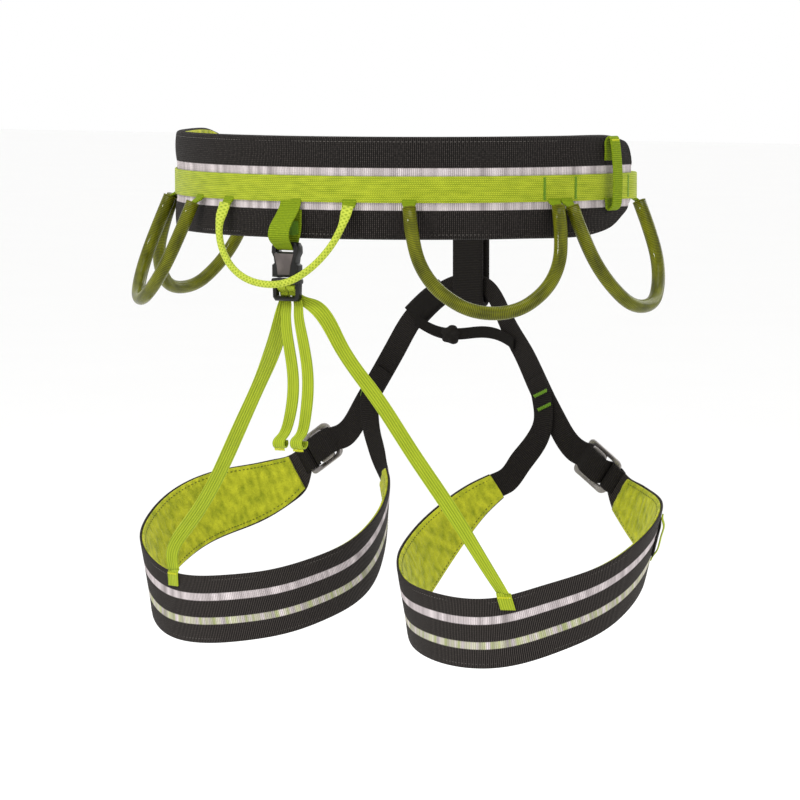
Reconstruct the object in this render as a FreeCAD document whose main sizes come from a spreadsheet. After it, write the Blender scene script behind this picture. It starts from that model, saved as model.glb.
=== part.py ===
import FreeCAD, Part
import math
import os
import Sketcher
from FreeCAD import Placement, Rotation, Vector

# A climbing harness that hangs as if worn. The origin is the centre of the waist opening at the
# belt's mid height. +X is the wearer's right, +Y the wearer's front, +Z up. Sizes are in millimetres.
DIMENSIONS = [
    ("belt_half_width", 163), ("belt_centre_y", 19), ("belt_back_depth", 160), ("belt_front_depth", 56),
    ("belt_top", 33.5), ("belt_bottom", -32), ("band_thickness", 1.2), ("foam_thickness", 2.4),
    ("liner_thickness", 1.4), ("layer_gap", 0.25), ("web_width", 17), ("web_thickness", 1.4),
    ("belay_width", 24), ("belay_thickness", 3.4), ("tie_in_width", 15), ("strap_thickness", 1.8),
    ("gear_tube_diameter", 8.8), ("gear_tube_bore", 7.2), ("gear_core_diameter", 6.6),
    ("gear_axis_z", -9), ("gear_axis_offset", 6.2), ("gear_drop", 74), ("gear_lean", 23),
    ("haul_diameter", 5), ("haul_axis_z", -10.5), ("haul_axis_offset", 4.8), ("haul_drop", 54),
    ("elastic_width", 9.5), ("elastic_thickness", 1.1), ("elastic_pinch", 6.2),
    ("leg_centre_x", 104), ("leg_centre_y", -9), ("leg_half_width", 83), ("leg_front_depth", 79),
    ("leg_back_depth", 84), ("leg_tail_width", 15),
    ("plate_length", 30), ("plate_width", 27), ("plate_thickness", 2.4), ("plate_slot", 8.4),
    ("plate_slot_width", 19.4), ("plate_rail", 3.2), ("plate_corner", 4), ("bar_length", 13),
    ("waist_plate_length", 36), ("waist_plate_width", 30), ("waist_slot", 10.4), ("waist_slot_width", 20),
    ("waist_bar_length", 15), ("bar_plate_width", 22), ("bar_plate_thickness", 2),
    ("buckle_x", 6), ("buckle_y", -146.5), ("buckle_width", 20), ("buckle_depth", 8),
    ("socket_height", 23), ("socket_bottom", -57), ("socket_wall", 2.8), ("socket_cavity", 12.5),
    ("socket_slot", 3.4), ("socket_slot_width", 13.4), ("socket_bar", 3.1), ("socket_bar_depth", 3.6),
    ("socket_window", 9),
    ("plug_height", 14.7), ("plug_depth", 4), ("plug_window", 8), ("plug_window_width", 14.6),
    ("plug_collar", 3.7), ("plug_gap", 0.3),
    ("tongue_width", 4.4), ("tongue_height", 9), ("prong_width", 2.4), ("prong_depth", 3.8),
    ("prong_height", 11), ("prong_inset", 4.2), ("pad_width", 3), ("pad_height", 6),
    ("keeper_length", 10), ("keeper_wall", 1), ("toggle_length", 13), ("toggle_height", 11),
    ("toggle_depth", 7), ("toggle_slot", 3.2), ("toggle_slot_height", 9.6), ("hem_rise", 24.2),
]

doc = FreeCAD.newDocument("ClimbingHarness")
sheet = doc.addObject("Spreadsheet::Sheet", "Dimensions")
for row, (alias, value) in enumerate(DIMENSIONS, start=1):
    sheet.set(f"A{row}", str(value))
    sheet.setAlias(f"A{row}", alias)
doc.recompute()

UP = Vector(0, 0, 1)
nodes = []


def size(alias):
    return float(sheet.get(alias))


def keep(thing, label):
    """Names a finished sub-part; its label is also its file's name."""
    thing.Label = label
    nodes.append(thing)
    return thing


def feature(label, shape, placement=None):
    thing = doc.addObject("Part::Feature", label)
    thing.Shape = shape
    thing.Placement = placement or Placement()
    return keep(thing, label)


# ---- straps: a flat woven strip follows rows of (point, direction across the strip, width) ----

def spline(points, closed, stations):
    """A curve that reaches each point at its own station, so that a strip's edges run together."""
    curve = Part.BSplineCurve()
    curve.interpolate(Points=points, PeriodicFlag=closed, Parameters=stations)
    return curve.toShape()


def strap_solid(rows, inner, outer, closed=False, side=1):
    """A strip between two offsets along its outward normal."""
    count = len(rows)
    corners = [[], [], [], []]
    for index, (point, across, width) in enumerate(rows):
        before = rows[index - 1][0] if closed or index else point
        after = rows[(index + 1) % count][0] if closed or index + 1 < count else point
        normal = (after - before).cross(across).normalize() * side
        half = Vector(across).normalize() * (width / 2)
        for corner, (edge, offset) in zip(corners, ((-1, inner), (1, inner), (1, outer), (-1, outer))):
            corner.append(point + half * edge + normal * offset)
    middles = [point for point, _, _ in rows]
    stations = [0.0]
    for start, end in zip(middles, middles[1:] + middles[:1] * closed):
        stations.append(stations[-1] + (end - start).Length)
    edges = [spline(corner, closed, stations) for corner in corners]
    faces = [Part.makeRuledSurface(edges[i], edges[(i + 1) % 4], 1) for i in range(4)]
    if not closed:
        for end in (0, -1):
            ring = [corner[end] for corner in corners]
            faces.append(Part.makeRuledSurface(Part.makeLine(ring[0], ring[1]),
                                               Part.makeLine(ring[3], ring[2]), 1))
    shell = Part.makeShell(faces)
    shell.sewShape()
    solid = Part.makeSolid(shell)
    if solid.Volume < 0:
        solid.reverse()
    return solid


def mirrored(rows, side):
    """The wearer's left is the right side with X reversed."""
    return [(Vector(p.x * side, p.y, p.z), Vector(a.x * side, a.y, a.z), w) for p, a, w in rows]


def half_thickness():
    return size("strap_thickness") / 2


# ---- waist belt ----

def belt_normal(angle):
    """Outward direction of the belt; angle 0 is the middle of the back, 90 the right hip."""
    turn = math.radians(angle)
    depth = size("belt_back_depth") if math.cos(turn) > 0 else size("belt_front_depth")
    return Vector(math.sin(turn) / size("belt_half_width"), -math.cos(turn) / depth, 0).normalize()


def belt_point(angle, offset=0.0, height=0.0):
    turn = math.radians(angle)
    depth = size("belt_back_depth") if math.cos(turn) > 0 else size("belt_front_depth")
    centre = Vector(size("belt_half_width") * math.sin(turn),
                    size("belt_centre_y") - depth * math.cos(turn), height)
    return centre + belt_normal(angle) * offset


def belt_tangent(angle):
    return UP.cross(belt_normal(angle))


def belt_rows(shrink):
    """The padded band from end to end, with rounded ends; shrink pulls all its edges in."""
    top, bottom = size("belt_top"), size("belt_bottom")
    end_shape = [(91, 0.32, 0.5), (89, 0.46, 0.76), (86.5, 0.6, 0.9), (83, 0.79, 0.97), (78, 0.93, 1.0)]
    outline = [(-angle, low, high) for angle, low, high in end_shape]
    outline += [(angle, 1.0, 1.0) for angle in range(-70, 71, 10)]
    outline += list(reversed(end_shape))
    rows = []
    for angle, low, high in outline:
        lowest = bottom * low + shrink
        highest = top * high - shrink
        rows.append((belt_point(angle * (1 - shrink / 200), 0, (lowest + highest) / 2), UP,
                     highest - lowest))
    return rows


def make_belt():
    gap = size("layer_gap")
    band_inner = -size("band_thickness")
    foam_outer = band_inner - gap
    foam_inner = foam_outer - size("foam_thickness")
    liner_outer = foam_inner - gap
    feature("belt_band", strap_solid(belt_rows(0), band_inner, 0))
    feature("belt_foam", strap_solid(belt_rows(3), foam_inner, foam_outer))
    feature("belt_liner", strap_solid(belt_rows(1), liner_outer - size("liner_thickness"), liner_outer))
    web = [(belt_point(angle), UP, size("web_width")) for angle in range(-126, 208, 6)]
    feature("waist_webbing", strap_solid(web, gap, gap + size("web_thickness")))


# ---- waist buckle, its tail and the loops at the front ----

BUCKLE_ANGLE = 221


def local_frame(origin, along, outward):
    """A placement whose X runs along a strap and whose Z points out of its face."""
    along = Vector(along).normalize()
    across = Vector(outward).cross(along).normalize()
    return Placement(origin, Rotation(along, across, along.cross(across), "XYZ"))


def rectangle(sketch, name, length, width, shift):
    """A rectangle in a sketch, centred at X = shift, with its sizes bound to the sheet."""
    first = sketch.GeometryCount
    corners = [Vector(-1, -1, 0), Vector(1, -1, 0), Vector(1, 1, 0), Vector(-1, 1, 0)]
    for start, end in zip(corners, corners[1:] + corners[:1]):
        sketch.addGeometry(Part.LineSegment(start, end), False)
    for step in range(4):
        sketch.addConstraint(Sketcher.Constraint("Coincident", first + step, 2, first + (step + 1) % 4, 1))
    for step in (0, 2):
        sketch.addConstraint(Sketcher.Constraint("Horizontal", first + step))
        sketch.addConstraint(Sketcher.Constraint("Vertical", first + step + 1))
    limits = (("DistanceX", 1, "left", f"{shift} - ({length}) / 2"),
              ("DistanceX", 2, "right", f"{shift} + ({length}) / 2"),
              ("DistanceY", 1, "low", f"-({width}) / 2"),
              ("DistanceY", 3, "high", f"({width}) / 2"))
    for kind, corner, tag, rule in limits:
        line = first if corner < 3 else first + 1
        point = {1: 1, 2: 2, 3: 2}[corner]
        index = sketch.addConstraint(Sketcher.Constraint(kind, -1, 1, line, point, 1.0))
        sketch.renameConstraint(index, f"{name}_{tag}")
        sketch.setExpression(f"Constraints.{name}_{tag}", rule)


def plate_body(label, length, width, thickness, windows, placement):
    """A flat metal plate with rounded corners and rectangular windows for webbing."""
    body = doc.addObject("PartDesign::Body", label)
    plane = next(f for f in body.Origin.OriginFeatures if f.Role == "XY_Plane")
    sketch = body.newObject("Sketcher::SketchObject", label + "_outline")
    sketch.AttachmentSupport = (plane, [""])
    sketch.MapMode = "FlatFace"
    rectangle(sketch, "plate", length, width, "0 mm")
    pad = body.newObject("PartDesign::Pad", label + "_plate")
    pad.Profile = sketch
    pad.setExpression("Length", thickness)
    doc.recompute()
    upright = [f"Edge{i}" for i, edge in enumerate(pad.Shape.Edges, start=1)
               if abs(edge.tangentAt(edge.FirstParameter).z) > 0.99]
    rounding = body.newObject("PartDesign::Fillet", label + "_corners")
    rounding.Base = (pad, upright)
    rounding.setExpression("Radius", "Dimensions.plate_corner * 1 mm")
    doc.recompute()
    solid_volume = rounding.Shape.Volume
    for number, (slot_length, slot_width, shift) in enumerate(windows):
        slot = body.newObject("Sketcher::SketchObject", f"{label}_slot{number}")
        slot.AttachmentSupport = (plane, [""])
        slot.MapMode = "FlatFace"
        rectangle(slot, "slot", slot_length, slot_width, shift)
        pocket = body.newObject("PartDesign::Pocket", f"{label}_window{number}")
        pocket.Profile = slot
        pocket.Type = "ThroughAll"
        pocket.Midplane = True
        doc.recompute()
        if pocket.Shape.Volume > solid_volume - 10:
            raise RuntimeError(f"{label}: window {number} cuts nothing")
        solid_volume = pocket.Shape.Volume
    body.Placement = placement
    return keep(body, label)


def sized(alias):
    return f"Dimensions.{alias} * 1 mm"


def two_slot_windows(slot, slot_width, rail):
    """Two slots side by side, with a crossbar between them."""
    shift = f"(Dimensions.{slot} + Dimensions.{rail}) / 2 * 1 mm"
    return [(sized(slot), sized(slot_width), f"-{shift}"), (sized(slot), sized(slot_width), shift)]


def make_waist_buckle():
    outward = belt_normal(BUCKLE_ANGLE)
    along = belt_tangent(BUCKLE_ANGLE)
    frame_offset = 2.3
    frame = local_frame(belt_point(BUCKLE_ANGLE, frame_offset), along, outward)
    plate_body("waist_buckle_frame", sized("waist_plate_length"), sized("waist_plate_width"),
               sized("plate_thickness"),
               two_slot_windows("waist_slot", "waist_slot_width", "plate_rail"), frame)
    bar_offset = frame_offset + size("plate_thickness") + 0.4
    bar = local_frame(belt_point(BUCKLE_ANGLE, bar_offset) - along * 5.5, along, outward)
    plate_body("waist_buckle_slider", sized("waist_bar_length"), sized("bar_plate_width"),
               sized("bar_plate_thickness"), [], bar)
    tail_inner = size("layer_gap") * 2 + size("web_thickness") + 0.1
    tail = [(belt_point(angle), UP, size("web_width")) for angle in (211, 208, 205, 202, 199, 196)]
    tail = list(reversed(tail))
    feature("waist_webbing_tail", strap_solid(tail, tail_inner, tail_inner + size("web_thickness")))


def bound_box(name, length, width, height, centre):
    """A box whose sizes and place are expressions, centred on a point."""
    block = doc.addObject("Part::Box", name)
    for prop, rule in (("Length", length), ("Width", width), ("Height", height)):
        block.setExpression(prop, rule)
    for axis, rule, extent in zip("xyz", centre, (length, width, height)):
        block.setExpression(f"Placement.Base.{axis}", f"{rule} - ({extent}) / 2")
    return block


def cut(name, base, tool):
    result = doc.addObject("Part::Cut", name)
    result.Base = base
    result.Tool = tool
    return result


def fused(name, pieces):
    result = doc.addObject("Part::MultiFuse", name)
    result.Shapes = pieces
    return result


def rounded(name, base, radius, chosen):
    """Rounds the chosen edges of a block."""
    doc.recompute()
    result = doc.addObject("Part::Fillet", name)
    result.Base = base
    result.Edges = [(i, radius, radius) for i, edge in enumerate(base.Shape.Edges, start=1) if chosen(edge)]
    return result


def along_y(edge):
    return abs(edge.tangentAt(edge.FirstParameter).y) > 0.99


def make_tail_keeper():
    """An elastic loop that holds the waist webbing and its tail together."""
    angle = 200
    inner_depth = 2 * (size("web_thickness") + size("layer_gap")) + 1.1
    height = size("web_width") + 1.4
    wall = "Dimensions.keeper_wall * 2 mm"
    outer = bound_box("keeper_outer", sized("keeper_length"), f"{height} mm + {wall}",
                      f"{inner_depth} mm + {wall}",
                      ("0 mm", "0 mm", "0 mm"))
    hole = bound_box("keeper_hole", "Dimensions.keeper_length * 2 mm", f"{height} mm", f"{inner_depth} mm",
                     ("0 mm", "0 mm", "0 mm"))
    keeper = cut("keeper_cut", outer, hole)
    middle = inner_depth / 2 - 0.3
    keeper.Placement = local_frame(belt_point(angle, middle), belt_tangent(angle), belt_normal(angle))
    keep(keeper, "waist_tail_keeper")


def make_tie_in_loop():
    """A short strap sewn to the waist webbing at both ends, bowed forward for the rope."""
    height = -6
    path = [(-38, 76.5), (-30, 77.3), (-22, 80.2), (-13, 83.4), (0, 84.3), (13, 83.4), (22, 80.2),
            (30, 77.3), (38, 76.5)]
    rows = [(Vector(x, y, height), UP, size("tie_in_width")) for x, y in path]
    feature("tie_in_loop", strap_solid(rows, -half_thickness(), half_thickness()))


def make_belay_loop():
    """A closed ring of doubled webbing round the tie-in strap above and the leg bridge below."""
    centre_y, top, bottom, radius = 84.3, 1.5, -82.9, 4
    path = [(radius * math.cos(math.radians(a)), top + radius * math.sin(math.radians(a)))
            for a in range(0, 181, 30)]
    path += [(-radius, top + (bottom - top) * part) for part in (0.25, 0.5, 0.75)]
    path += [(radius * math.cos(math.radians(a)), bottom + radius * math.sin(math.radians(a)))
             for a in range(180, 361, 30)]
    path += [(radius, bottom + (top - bottom) * part) for part in (0.25, 0.5, 0.75)]
    rows = [(Vector(0, centre_y + y, z), Vector(1, 0, 0), size("belay_width")) for y, z in path]
    half = size("belay_thickness") / 2
    feature("belay_loop", strap_solid(rows, -half, half, closed=True))


# ---- gear loops, haul loop and clip slots ----

def routed_wire(points):
    """Straight runs joined by tangent arcs."""
    edges = []
    position = points[0]
    for before, corner, after in zip(points, points[1:], points[2:]):
        run_in = corner - before
        run_out = after - corner
        turn = run_in.getAngle(run_out)
        reach = 0.45 * min(run_in.Length, run_out.Length)
        run_in.normalize()
        run_out.normalize()
        radius = reach / math.tan(turn / 2)
        start = corner - run_in * reach
        end = corner + run_out * reach
        centre = start + (run_out - run_in * run_in.dot(run_out)).normalize() * radius
        middle = centre + (corner - centre).normalize() * radius
        edges.append(Part.LineSegment(position, start).toShape())
        edges.append(Part.Arc(start, middle, end).toShape())
        position = end
    edges.append(Part.LineSegment(position, points[-1]).toShape())
    return Part.Wire(edges)


def swept(name, path, diameter):
    """A round bar along a path, made by Part::Sweep with a bound circle."""
    route = doc.addObject("Part::Feature", name + "_route")
    route.Shape = path
    ring = doc.addObject("Part::Circle", name + "_ring")
    ring.setExpression("Radius", f"Dimensions.{diameter} / 2 * 1 mm")
    start = path.Edges[0].firstVertex().Point
    heading = path.Edges[0].tangentAt(path.Edges[0].FirstParameter)
    ring.Placement = Placement(start, Rotation(UP, heading))
    sweep = doc.addObject("Part::Sweep", name)
    sweep.Sections = [ring]
    sweep.Spine = (route, [f"Edge{i + 1}" for i in range(len(path.Edges))])
    sweep.Solid = True
    sweep.Frenet = False
    doc.recompute()
    expected = math.pi * (size(diameter) / 2) ** 2 * path.Length
    print(f"{name}: length {path.Length:.1f}, volume ratio {sweep.Shape.Volume / expected:.4f}")
    return sweep


def hanging_plane(start_angle, end_angle, offset, height, lean):
    """Origin midway between two anchor points, the line between them, and the leaning drop."""
    first = belt_point(start_angle, offset, height)
    last = belt_point(end_angle, offset, height)
    along = (last - first).normalize()
    outward = along.cross(UP)
    drop = UP * -math.cos(math.radians(lean)) + outward * math.sin(math.radians(lean))
    return (first + last) / 2, along, drop, (last - first).Length / 2


GEAR_LOOPS = [("rear_right", 30, 64), ("front_right", 67.4, 114),
              ("rear_left", -64, -28.5), ("front_left", -114, -67.4)]


def gear_route(centre, along, drop, half, start):
    """A deep U from start below one anchor to start below the other."""
    depth = size("gear_drop")
    outline = [(-half, start), (-half, 21.5), (-half + 3, 42), (-half + 14, 60), (-14, depth),
               (14, depth), (half - 14, 60), (half - 3, 42), (half, 21.5), (half, start)]
    return routed_wire([centre + along * x + drop * y for x, y in outline])


def make_gear_loop(name, first_angle, last_angle):
    centre, along, drop, half = hanging_plane(first_angle, last_angle, size("gear_axis_offset"),
                                              size("gear_axis_z"), size("gear_lean"))
    tube_start = 2.8
    tube_route = gear_route(centre, along, drop, half, tube_start)
    outer = swept("tube_skin_" + name, tube_route, "gear_tube_diameter")
    bore = swept("tube_bore_" + name, tube_route, "gear_tube_bore")
    keep(cut("tube_" + name, outer, bore), "gear_tube_" + name)
    core = swept("core_" + name, gear_route(centre, along, drop, half, 0), "gear_core_diameter")
    ends = []
    for tag, place in (("a", centre - along * half), ("b", centre + along * half)):
        ball = doc.addObject("Part::Sphere", f"core_end_{tag}_{name}")
        ball.setExpression("Radius", "Dimensions.gear_core_diameter / 2 * 1 mm")
        ball.Placement = Placement(place, Rotation())
        ends.append(ball)
    keep(fused("core_whole_" + name, [core] + ends), "gear_core_" + name)
    tabs = []
    for angle in (first_angle, last_angle):
        path = [(0.85, -8.8), (0.95, -11), (1.3, -13.4)]
        rows = [(belt_point(angle, offset, z), belt_tangent(angle), 9) for offset, z in path]
        tabs.append(strap_solid(rows, -0.5, 0.5))
    feature("gear_tabs_" + name, Part.makeCompound(tabs))


def make_haul_loop():
    """A cord loop across the middle of the back."""
    angle = 16.5
    lean = 20
    centre, along, drop, half = hanging_plane(-angle, angle, size("haul_axis_offset"),
                                              size("haul_axis_z"), lean)
    depth = size("haul_drop")
    outline = [(-half, 0), (-half - 2, 14), (-half + 3, 29.5), (-half + 16, 45), (-13, depth - 0.5),
               (10, depth), (half - 20, 44), (half - 7, 28.5), (half - 1, 13), (half, 0)]
    points = [centre + along * x + drop * y for x, y in outline]
    cord = swept("haul_cord", routed_wire(points), "haul_diameter")
    ends = []
    for tag, place in (("a", centre - along * half), ("b", centre + along * half)):
        ball = doc.addObject("Part::Sphere", "haul_end_" + tag)
        ball.setExpression("Radius", "Dimensions.haul_diameter / 2 * 1 mm")
        ball.Placement = Placement(place, Rotation())
        ends.append(ball)
    keep(fused("haul_whole", [cord] + ends), "haul_loop")
    tabs = []
    for turn in (-angle, angle):
        rows = [(belt_point(turn, offset, z), belt_tangent(turn), 10) for offset, z in
                ((0.85, -8.8), (0.85, -11), (0.9, -13))]
        tabs.append(strap_solid(rows, -0.5, 0.5))
    feature("haul_loop_tabs", Part.makeCompound(tabs))


def make_clip_slot(label, angle):
    """A narrow webbing loop that stands off the belt and takes a clip from either side."""
    path = [(1.0, 18), (1.15, 25), (2.2, 30.4), (4.6, 31.6), (7.0, 27), (8.8, 16), (9.5, 3), (9.0, -7),
            (6.9, -13.6), (4.0, -14.6), (2.6, -11), (2.4, -7)]
    rows = [(belt_point(angle, offset, z), belt_tangent(angle), 9) for offset, z in path]
    feature(label, strap_solid(rows, -0.6, 0.6))


# ---- rear buckle and elastic risers ----

def make_riser_anchor():
    """Webbing sewn under the belt webbing, bulging out and wrapped round the rear buckle's bar."""
    x = size("buckle_x")
    bar_y = size("buckle_y")
    bar_z = size("socket_bottom") + size("socket_height") - size("socket_bar") / 2
    path = [(-142.0, -9.2, 16), (-145, -13.6, 16), (-150, -19, 16), (-155.3, -25, 16), (-156.3, -30.7, 16),
            (-152, -36, 12.4), (bar_y - 2.2, bar_z - 2.9, 12.4), (bar_y + 2.0, bar_z - 2.65, 12.4),
            (bar_y + 3.0, bar_z + 0.4, 12.4), (bar_y + 1.6, bar_z + 2.9, 12.4),
            (bar_y - 3.6, bar_z + 3.3, 12.4), (-152.3, -28.7, 16)]
    rows = [(Vector(x, y, z), Vector(1, 0, 0), width) for y, z, width in path]
    feature("riser_anchor", strap_solid(rows, -0.6, 0.6))


BUCKLE_X = "Dimensions.buckle_x * 1 mm"
BUCKLE_Y = "Dimensions.buckle_y * 1 mm"


def make_rear_socket():
    """The upper half of the side-release buckle: a bar for the anchor and a hollow for the prongs."""
    base = "Dimensions.socket_bottom * 1 mm"
    block = bound_box("socket_block", sized("buckle_width"), sized("buckle_depth"), sized("socket_height"),
                      (BUCKLE_X, BUCKLE_Y, f"{base} + Dimensions.socket_height / 2 * 1 mm"))
    block = rounded("socket_round", block, 2.5, along_y)
    inner_width = "(Dimensions.buckle_width - 2 * Dimensions.socket_wall) * 1 mm"
    inner_depth = "(Dimensions.prong_depth + 0.8) * 1 mm"
    cavity = bound_box("socket_cavity", inner_width, inner_depth, "Dimensions.socket_cavity * 2 mm",
                       (BUCKLE_X, BUCKLE_Y, base))
    window = bound_box("socket_windows", "Dimensions.buckle_width * 2 mm", inner_depth,
                       "Dimensions.socket_window * 2 mm", (BUCKLE_X, BUCKLE_Y, base))
    slot_z = (f"{base} + (Dimensions.socket_height - Dimensions.socket_bar "
              "- Dimensions.socket_slot / 2) * 1 mm")
    slot = bound_box("socket_slot", sized("socket_slot_width"), "Dimensions.buckle_depth * 2 mm",
                     sized("socket_slot"), (BUCKLE_X, BUCKLE_Y, slot_z))
    tools = [cavity, window, slot]
    for name, sign in (("socket_relief_inside", "+"), ("socket_relief_outside", "-")):
        away = f"{BUCKLE_Y} {sign} (Dimensions.buckle_depth + Dimensions.socket_bar_depth) / 2 * 1 mm"
        tools.append(bound_box(name, sized("socket_slot_width"), sized("buckle_depth"),
                               "(Dimensions.socket_bar + 1.4) * 1 mm",
                               (BUCKLE_X, away, f"{base} + (Dimensions.socket_height - 1) * 1 mm")))
    keep(cut("socket_cut", block, fused("socket_tools", tools)), "rear_buckle_socket")


def make_rear_plug():
    """The lower half: a ladder frame for the elastics and a guide tongue that enters the socket."""
    top = "(Dimensions.socket_bottom - Dimensions.plug_gap) * 1 mm"
    collar = bound_box("plug_collar", sized("buckle_width"), sized("buckle_depth"), sized("plug_collar"),
                       (BUCKLE_X, BUCKLE_Y, f"{top} - Dimensions.plug_collar / 2 * 1 mm"))
    frame = bound_box("plug_frame", sized("buckle_width"), sized("plug_depth"), sized("plug_height"),
                      (BUCKLE_X, BUCKLE_Y, f"{top} - Dimensions.plug_height / 2 * 1 mm"))
    frame = rounded("plug_frame_round", frame, 2.5, along_y)
    tongue = bound_box("plug_tongue", sized("tongue_width"), sized("prong_depth"),
                       "(Dimensions.tongue_height + 1) * 1 mm",
                       (BUCKLE_X, BUCKLE_Y, f"{top} + (Dimensions.tongue_height - 1) / 2 * 1 mm"))
    window_z = f"{top} - (Dimensions.plug_collar + Dimensions.plug_window / 2) * 1 mm"
    window = bound_box("plug_window", sized("plug_window_width"), "Dimensions.buckle_depth * 2 mm",
                       sized("plug_window"), (BUCKLE_X, BUCKLE_Y, window_z))
    keep(cut("plug_cut", fused("plug_solid", [collar, frame, tongue]), window), "rear_buckle_plug")


def make_prong(label, side):
    """A sprung arm whose pad shows in the socket's side window."""
    base = "Dimensions.socket_bottom * 1 mm"
    arm_x = f"{BUCKLE_X} + {side} * (Dimensions.prong_inset + Dimensions.prong_width / 2) * 1 mm"
    arm = bound_box(label + "_arm", sized("prong_width"), sized("prong_depth"), sized("prong_height"),
                    (arm_x, BUCKLE_Y, f"{base} + Dimensions.prong_height / 2 * 1 mm"))
    pad_x = (f"{BUCKLE_X} + {side} * (Dimensions.prong_inset + Dimensions.prong_width "
             "+ Dimensions.pad_width / 2) * 1 mm")
    pad = bound_box(label + "_pad", sized("pad_width"), sized("prong_depth"), sized("pad_height"),
                    (pad_x, BUCKLE_Y, f"{base} + (1.2 + Dimensions.pad_height / 2) * 1 mm"))
    pad = rounded(label + "_pad_round", pad, 1.2, along_y)
    keep(fused(label + "_solid", [arm, pad]), label)


# Where each elastic is sewn to its leg band: the wearer's left one sits a little nearer the middle.
HEM_ANGLE = {1: 25, -1: 14}


# Points that each elastic passes between the rear buckle and its leg band.
RISER_FACING = Vector(0.54, -0.84, 0)
RISER_ROUTE = {1: [(21.5, -141.3, -74), (38, -133.5, -100), (58, -123.5, -132), (78, -113, -166.5),
                   (101, -102, -204), (122.5, -92.5, -241)],
               -1: [(0.5, -142.2, -77), (-25.5, -128.5, -122), (-50.5, -118.5, -157), (-74, -109.5, -190),
                    (-95, -103, -216), (-113, -98.5, -234.5), (-122.5, -96, -249)]}


def riser_rows(side):
    """One elastic from the plug's ladder bar to the top edge of a leg band."""
    x, y = size("buckle_x"), size("buckle_y")
    end, across, _ = leg_row(HEM_ANGLE[side])
    target = end + across.normalize() * size("hem_rise")
    foot = Vector(target.x * side, target.y - 0.6, target.z)
    route = [Vector(*point) for point in RISER_ROUTE[side]]
    flat = RISER_FACING.cross((route[2] - route[0]).normalize())
    pinch = size("elastic_pinch")
    rows = [(Vector(x + side * 3.5, y + 1.0, -63.5), Vector(1, 0, 0), pinch),
            (Vector(x + side * 4.0, y + 3.9, -67.6), Vector(1, 0, side * 0.2), pinch)]
    rows += [(point, flat, size("elastic_width")) for point in route[:-1]]
    rows.append((route[-1], flat + Vector(1, 0, 0), size("elastic_width") - 1))
    rows.append((foot, Vector(1, 0, 0), size("elastic_width")))
    return rows


def make_risers():
    half = size("elastic_thickness") / 2
    for side, name in ((1, "right"), (-1, "left")):
        feature("elastic_riser_" + name, strap_solid(riser_rows(side), -half, half))
        x, y = size("buckle_x"), size("buckle_y")
        start_x = x + side * 3.5
        drift = {1: (2.4, 3.4, 5.4, 8.8, 12.5, 10, 6.5), -1: (1.2, 1.7, 2.8, 4.7, 8, 5, 0.5)}[side]
        heights = (-71.2, -74, -80, -91, -118, -146, -161)
        depths = (2.8, 2.2, -0.3, -2.4, -0.6, 0.4, -0.2)
        widths = (size("elastic_pinch"), 6.6, 7.2, 8) + (size("elastic_width") - 1,) * 3
        rows = [(Vector(start_x + dx, y + dy, z), Vector(1, 0.06, 0.02), w)
                for dx, dy, z, w in zip(drift, depths, heights, widths)]
        feature("riser_tail_" + name, strap_solid(rows, -half, half))


# ---- leg loops ----

# Angle round the leg from the middle of the back, height, outward lean in degrees, and width.
LEG_SHAPE = [(-134, -206, 3, 19), (-125, -214, 4, 24), (-112, -228, 5, 32), (-98, -243, 7, 40),
             (-82, -258, 9, 46), (-60, -270, 10, 46), (-40, -278, 9, 46), (-20, -282.5, 7, 46),
             (0, -285, 5, 46), (20, -283, 5, 46), (42, -274, 8, 46), (65, -263.5, 13, 46),
             (86, -250, 15, 46), (106, -237, 15, 46), (126, -228, 13, 45), (144, -221, 9, 39),
             (154, -214.5, 7, 33), (161, -208.5, 5.5, 27)]


def leg_point(angle, height):
    turn = math.radians(angle)
    depth = size("leg_back_depth") if math.cos(turn) > 0 else size("leg_front_depth")
    return Vector(size("leg_centre_x") + size("leg_half_width") * math.sin(turn),
                  size("leg_centre_y") - depth * math.cos(turn), height)


def leg_row(angle, rise=0.0, width=None):
    """The band's point, its direction across and its width at any angle, between the given ones."""
    last = len(LEG_SHAPE) - 1
    index = next((i for i in range(last) if angle <= LEG_SHAPE[i + 1][0]), last - 1)
    low, high = LEG_SHAPE[index], LEG_SHAPE[index + 1]
    part = (angle - low[0]) / (high[0] - low[0])
    height, lean, full = (low[k] + (high[k] - low[k]) * part for k in (1, 2, 3))
    slope = (high[1] - low[1]) / (high[0] - low[0])
    if 0 < index < last and part < 1e-9:
        slope = (high[1] - LEG_SHAPE[index - 1][1]) / (high[0] - LEG_SHAPE[index - 1][0])
    tangent = leg_point(angle + 1, slope) - leg_point(angle - 1, -slope)
    outward = Vector(tangent.y, -tangent.x, 0).normalize()
    upward = outward.cross(tangent).normalize()
    if upward.z < 0:
        upward = -upward
    tilt = math.radians(lean)
    across = upward * math.cos(tilt) + outward * math.sin(tilt)
    return leg_point(angle, height) + across * rise, across, full if width is None else width


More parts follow.
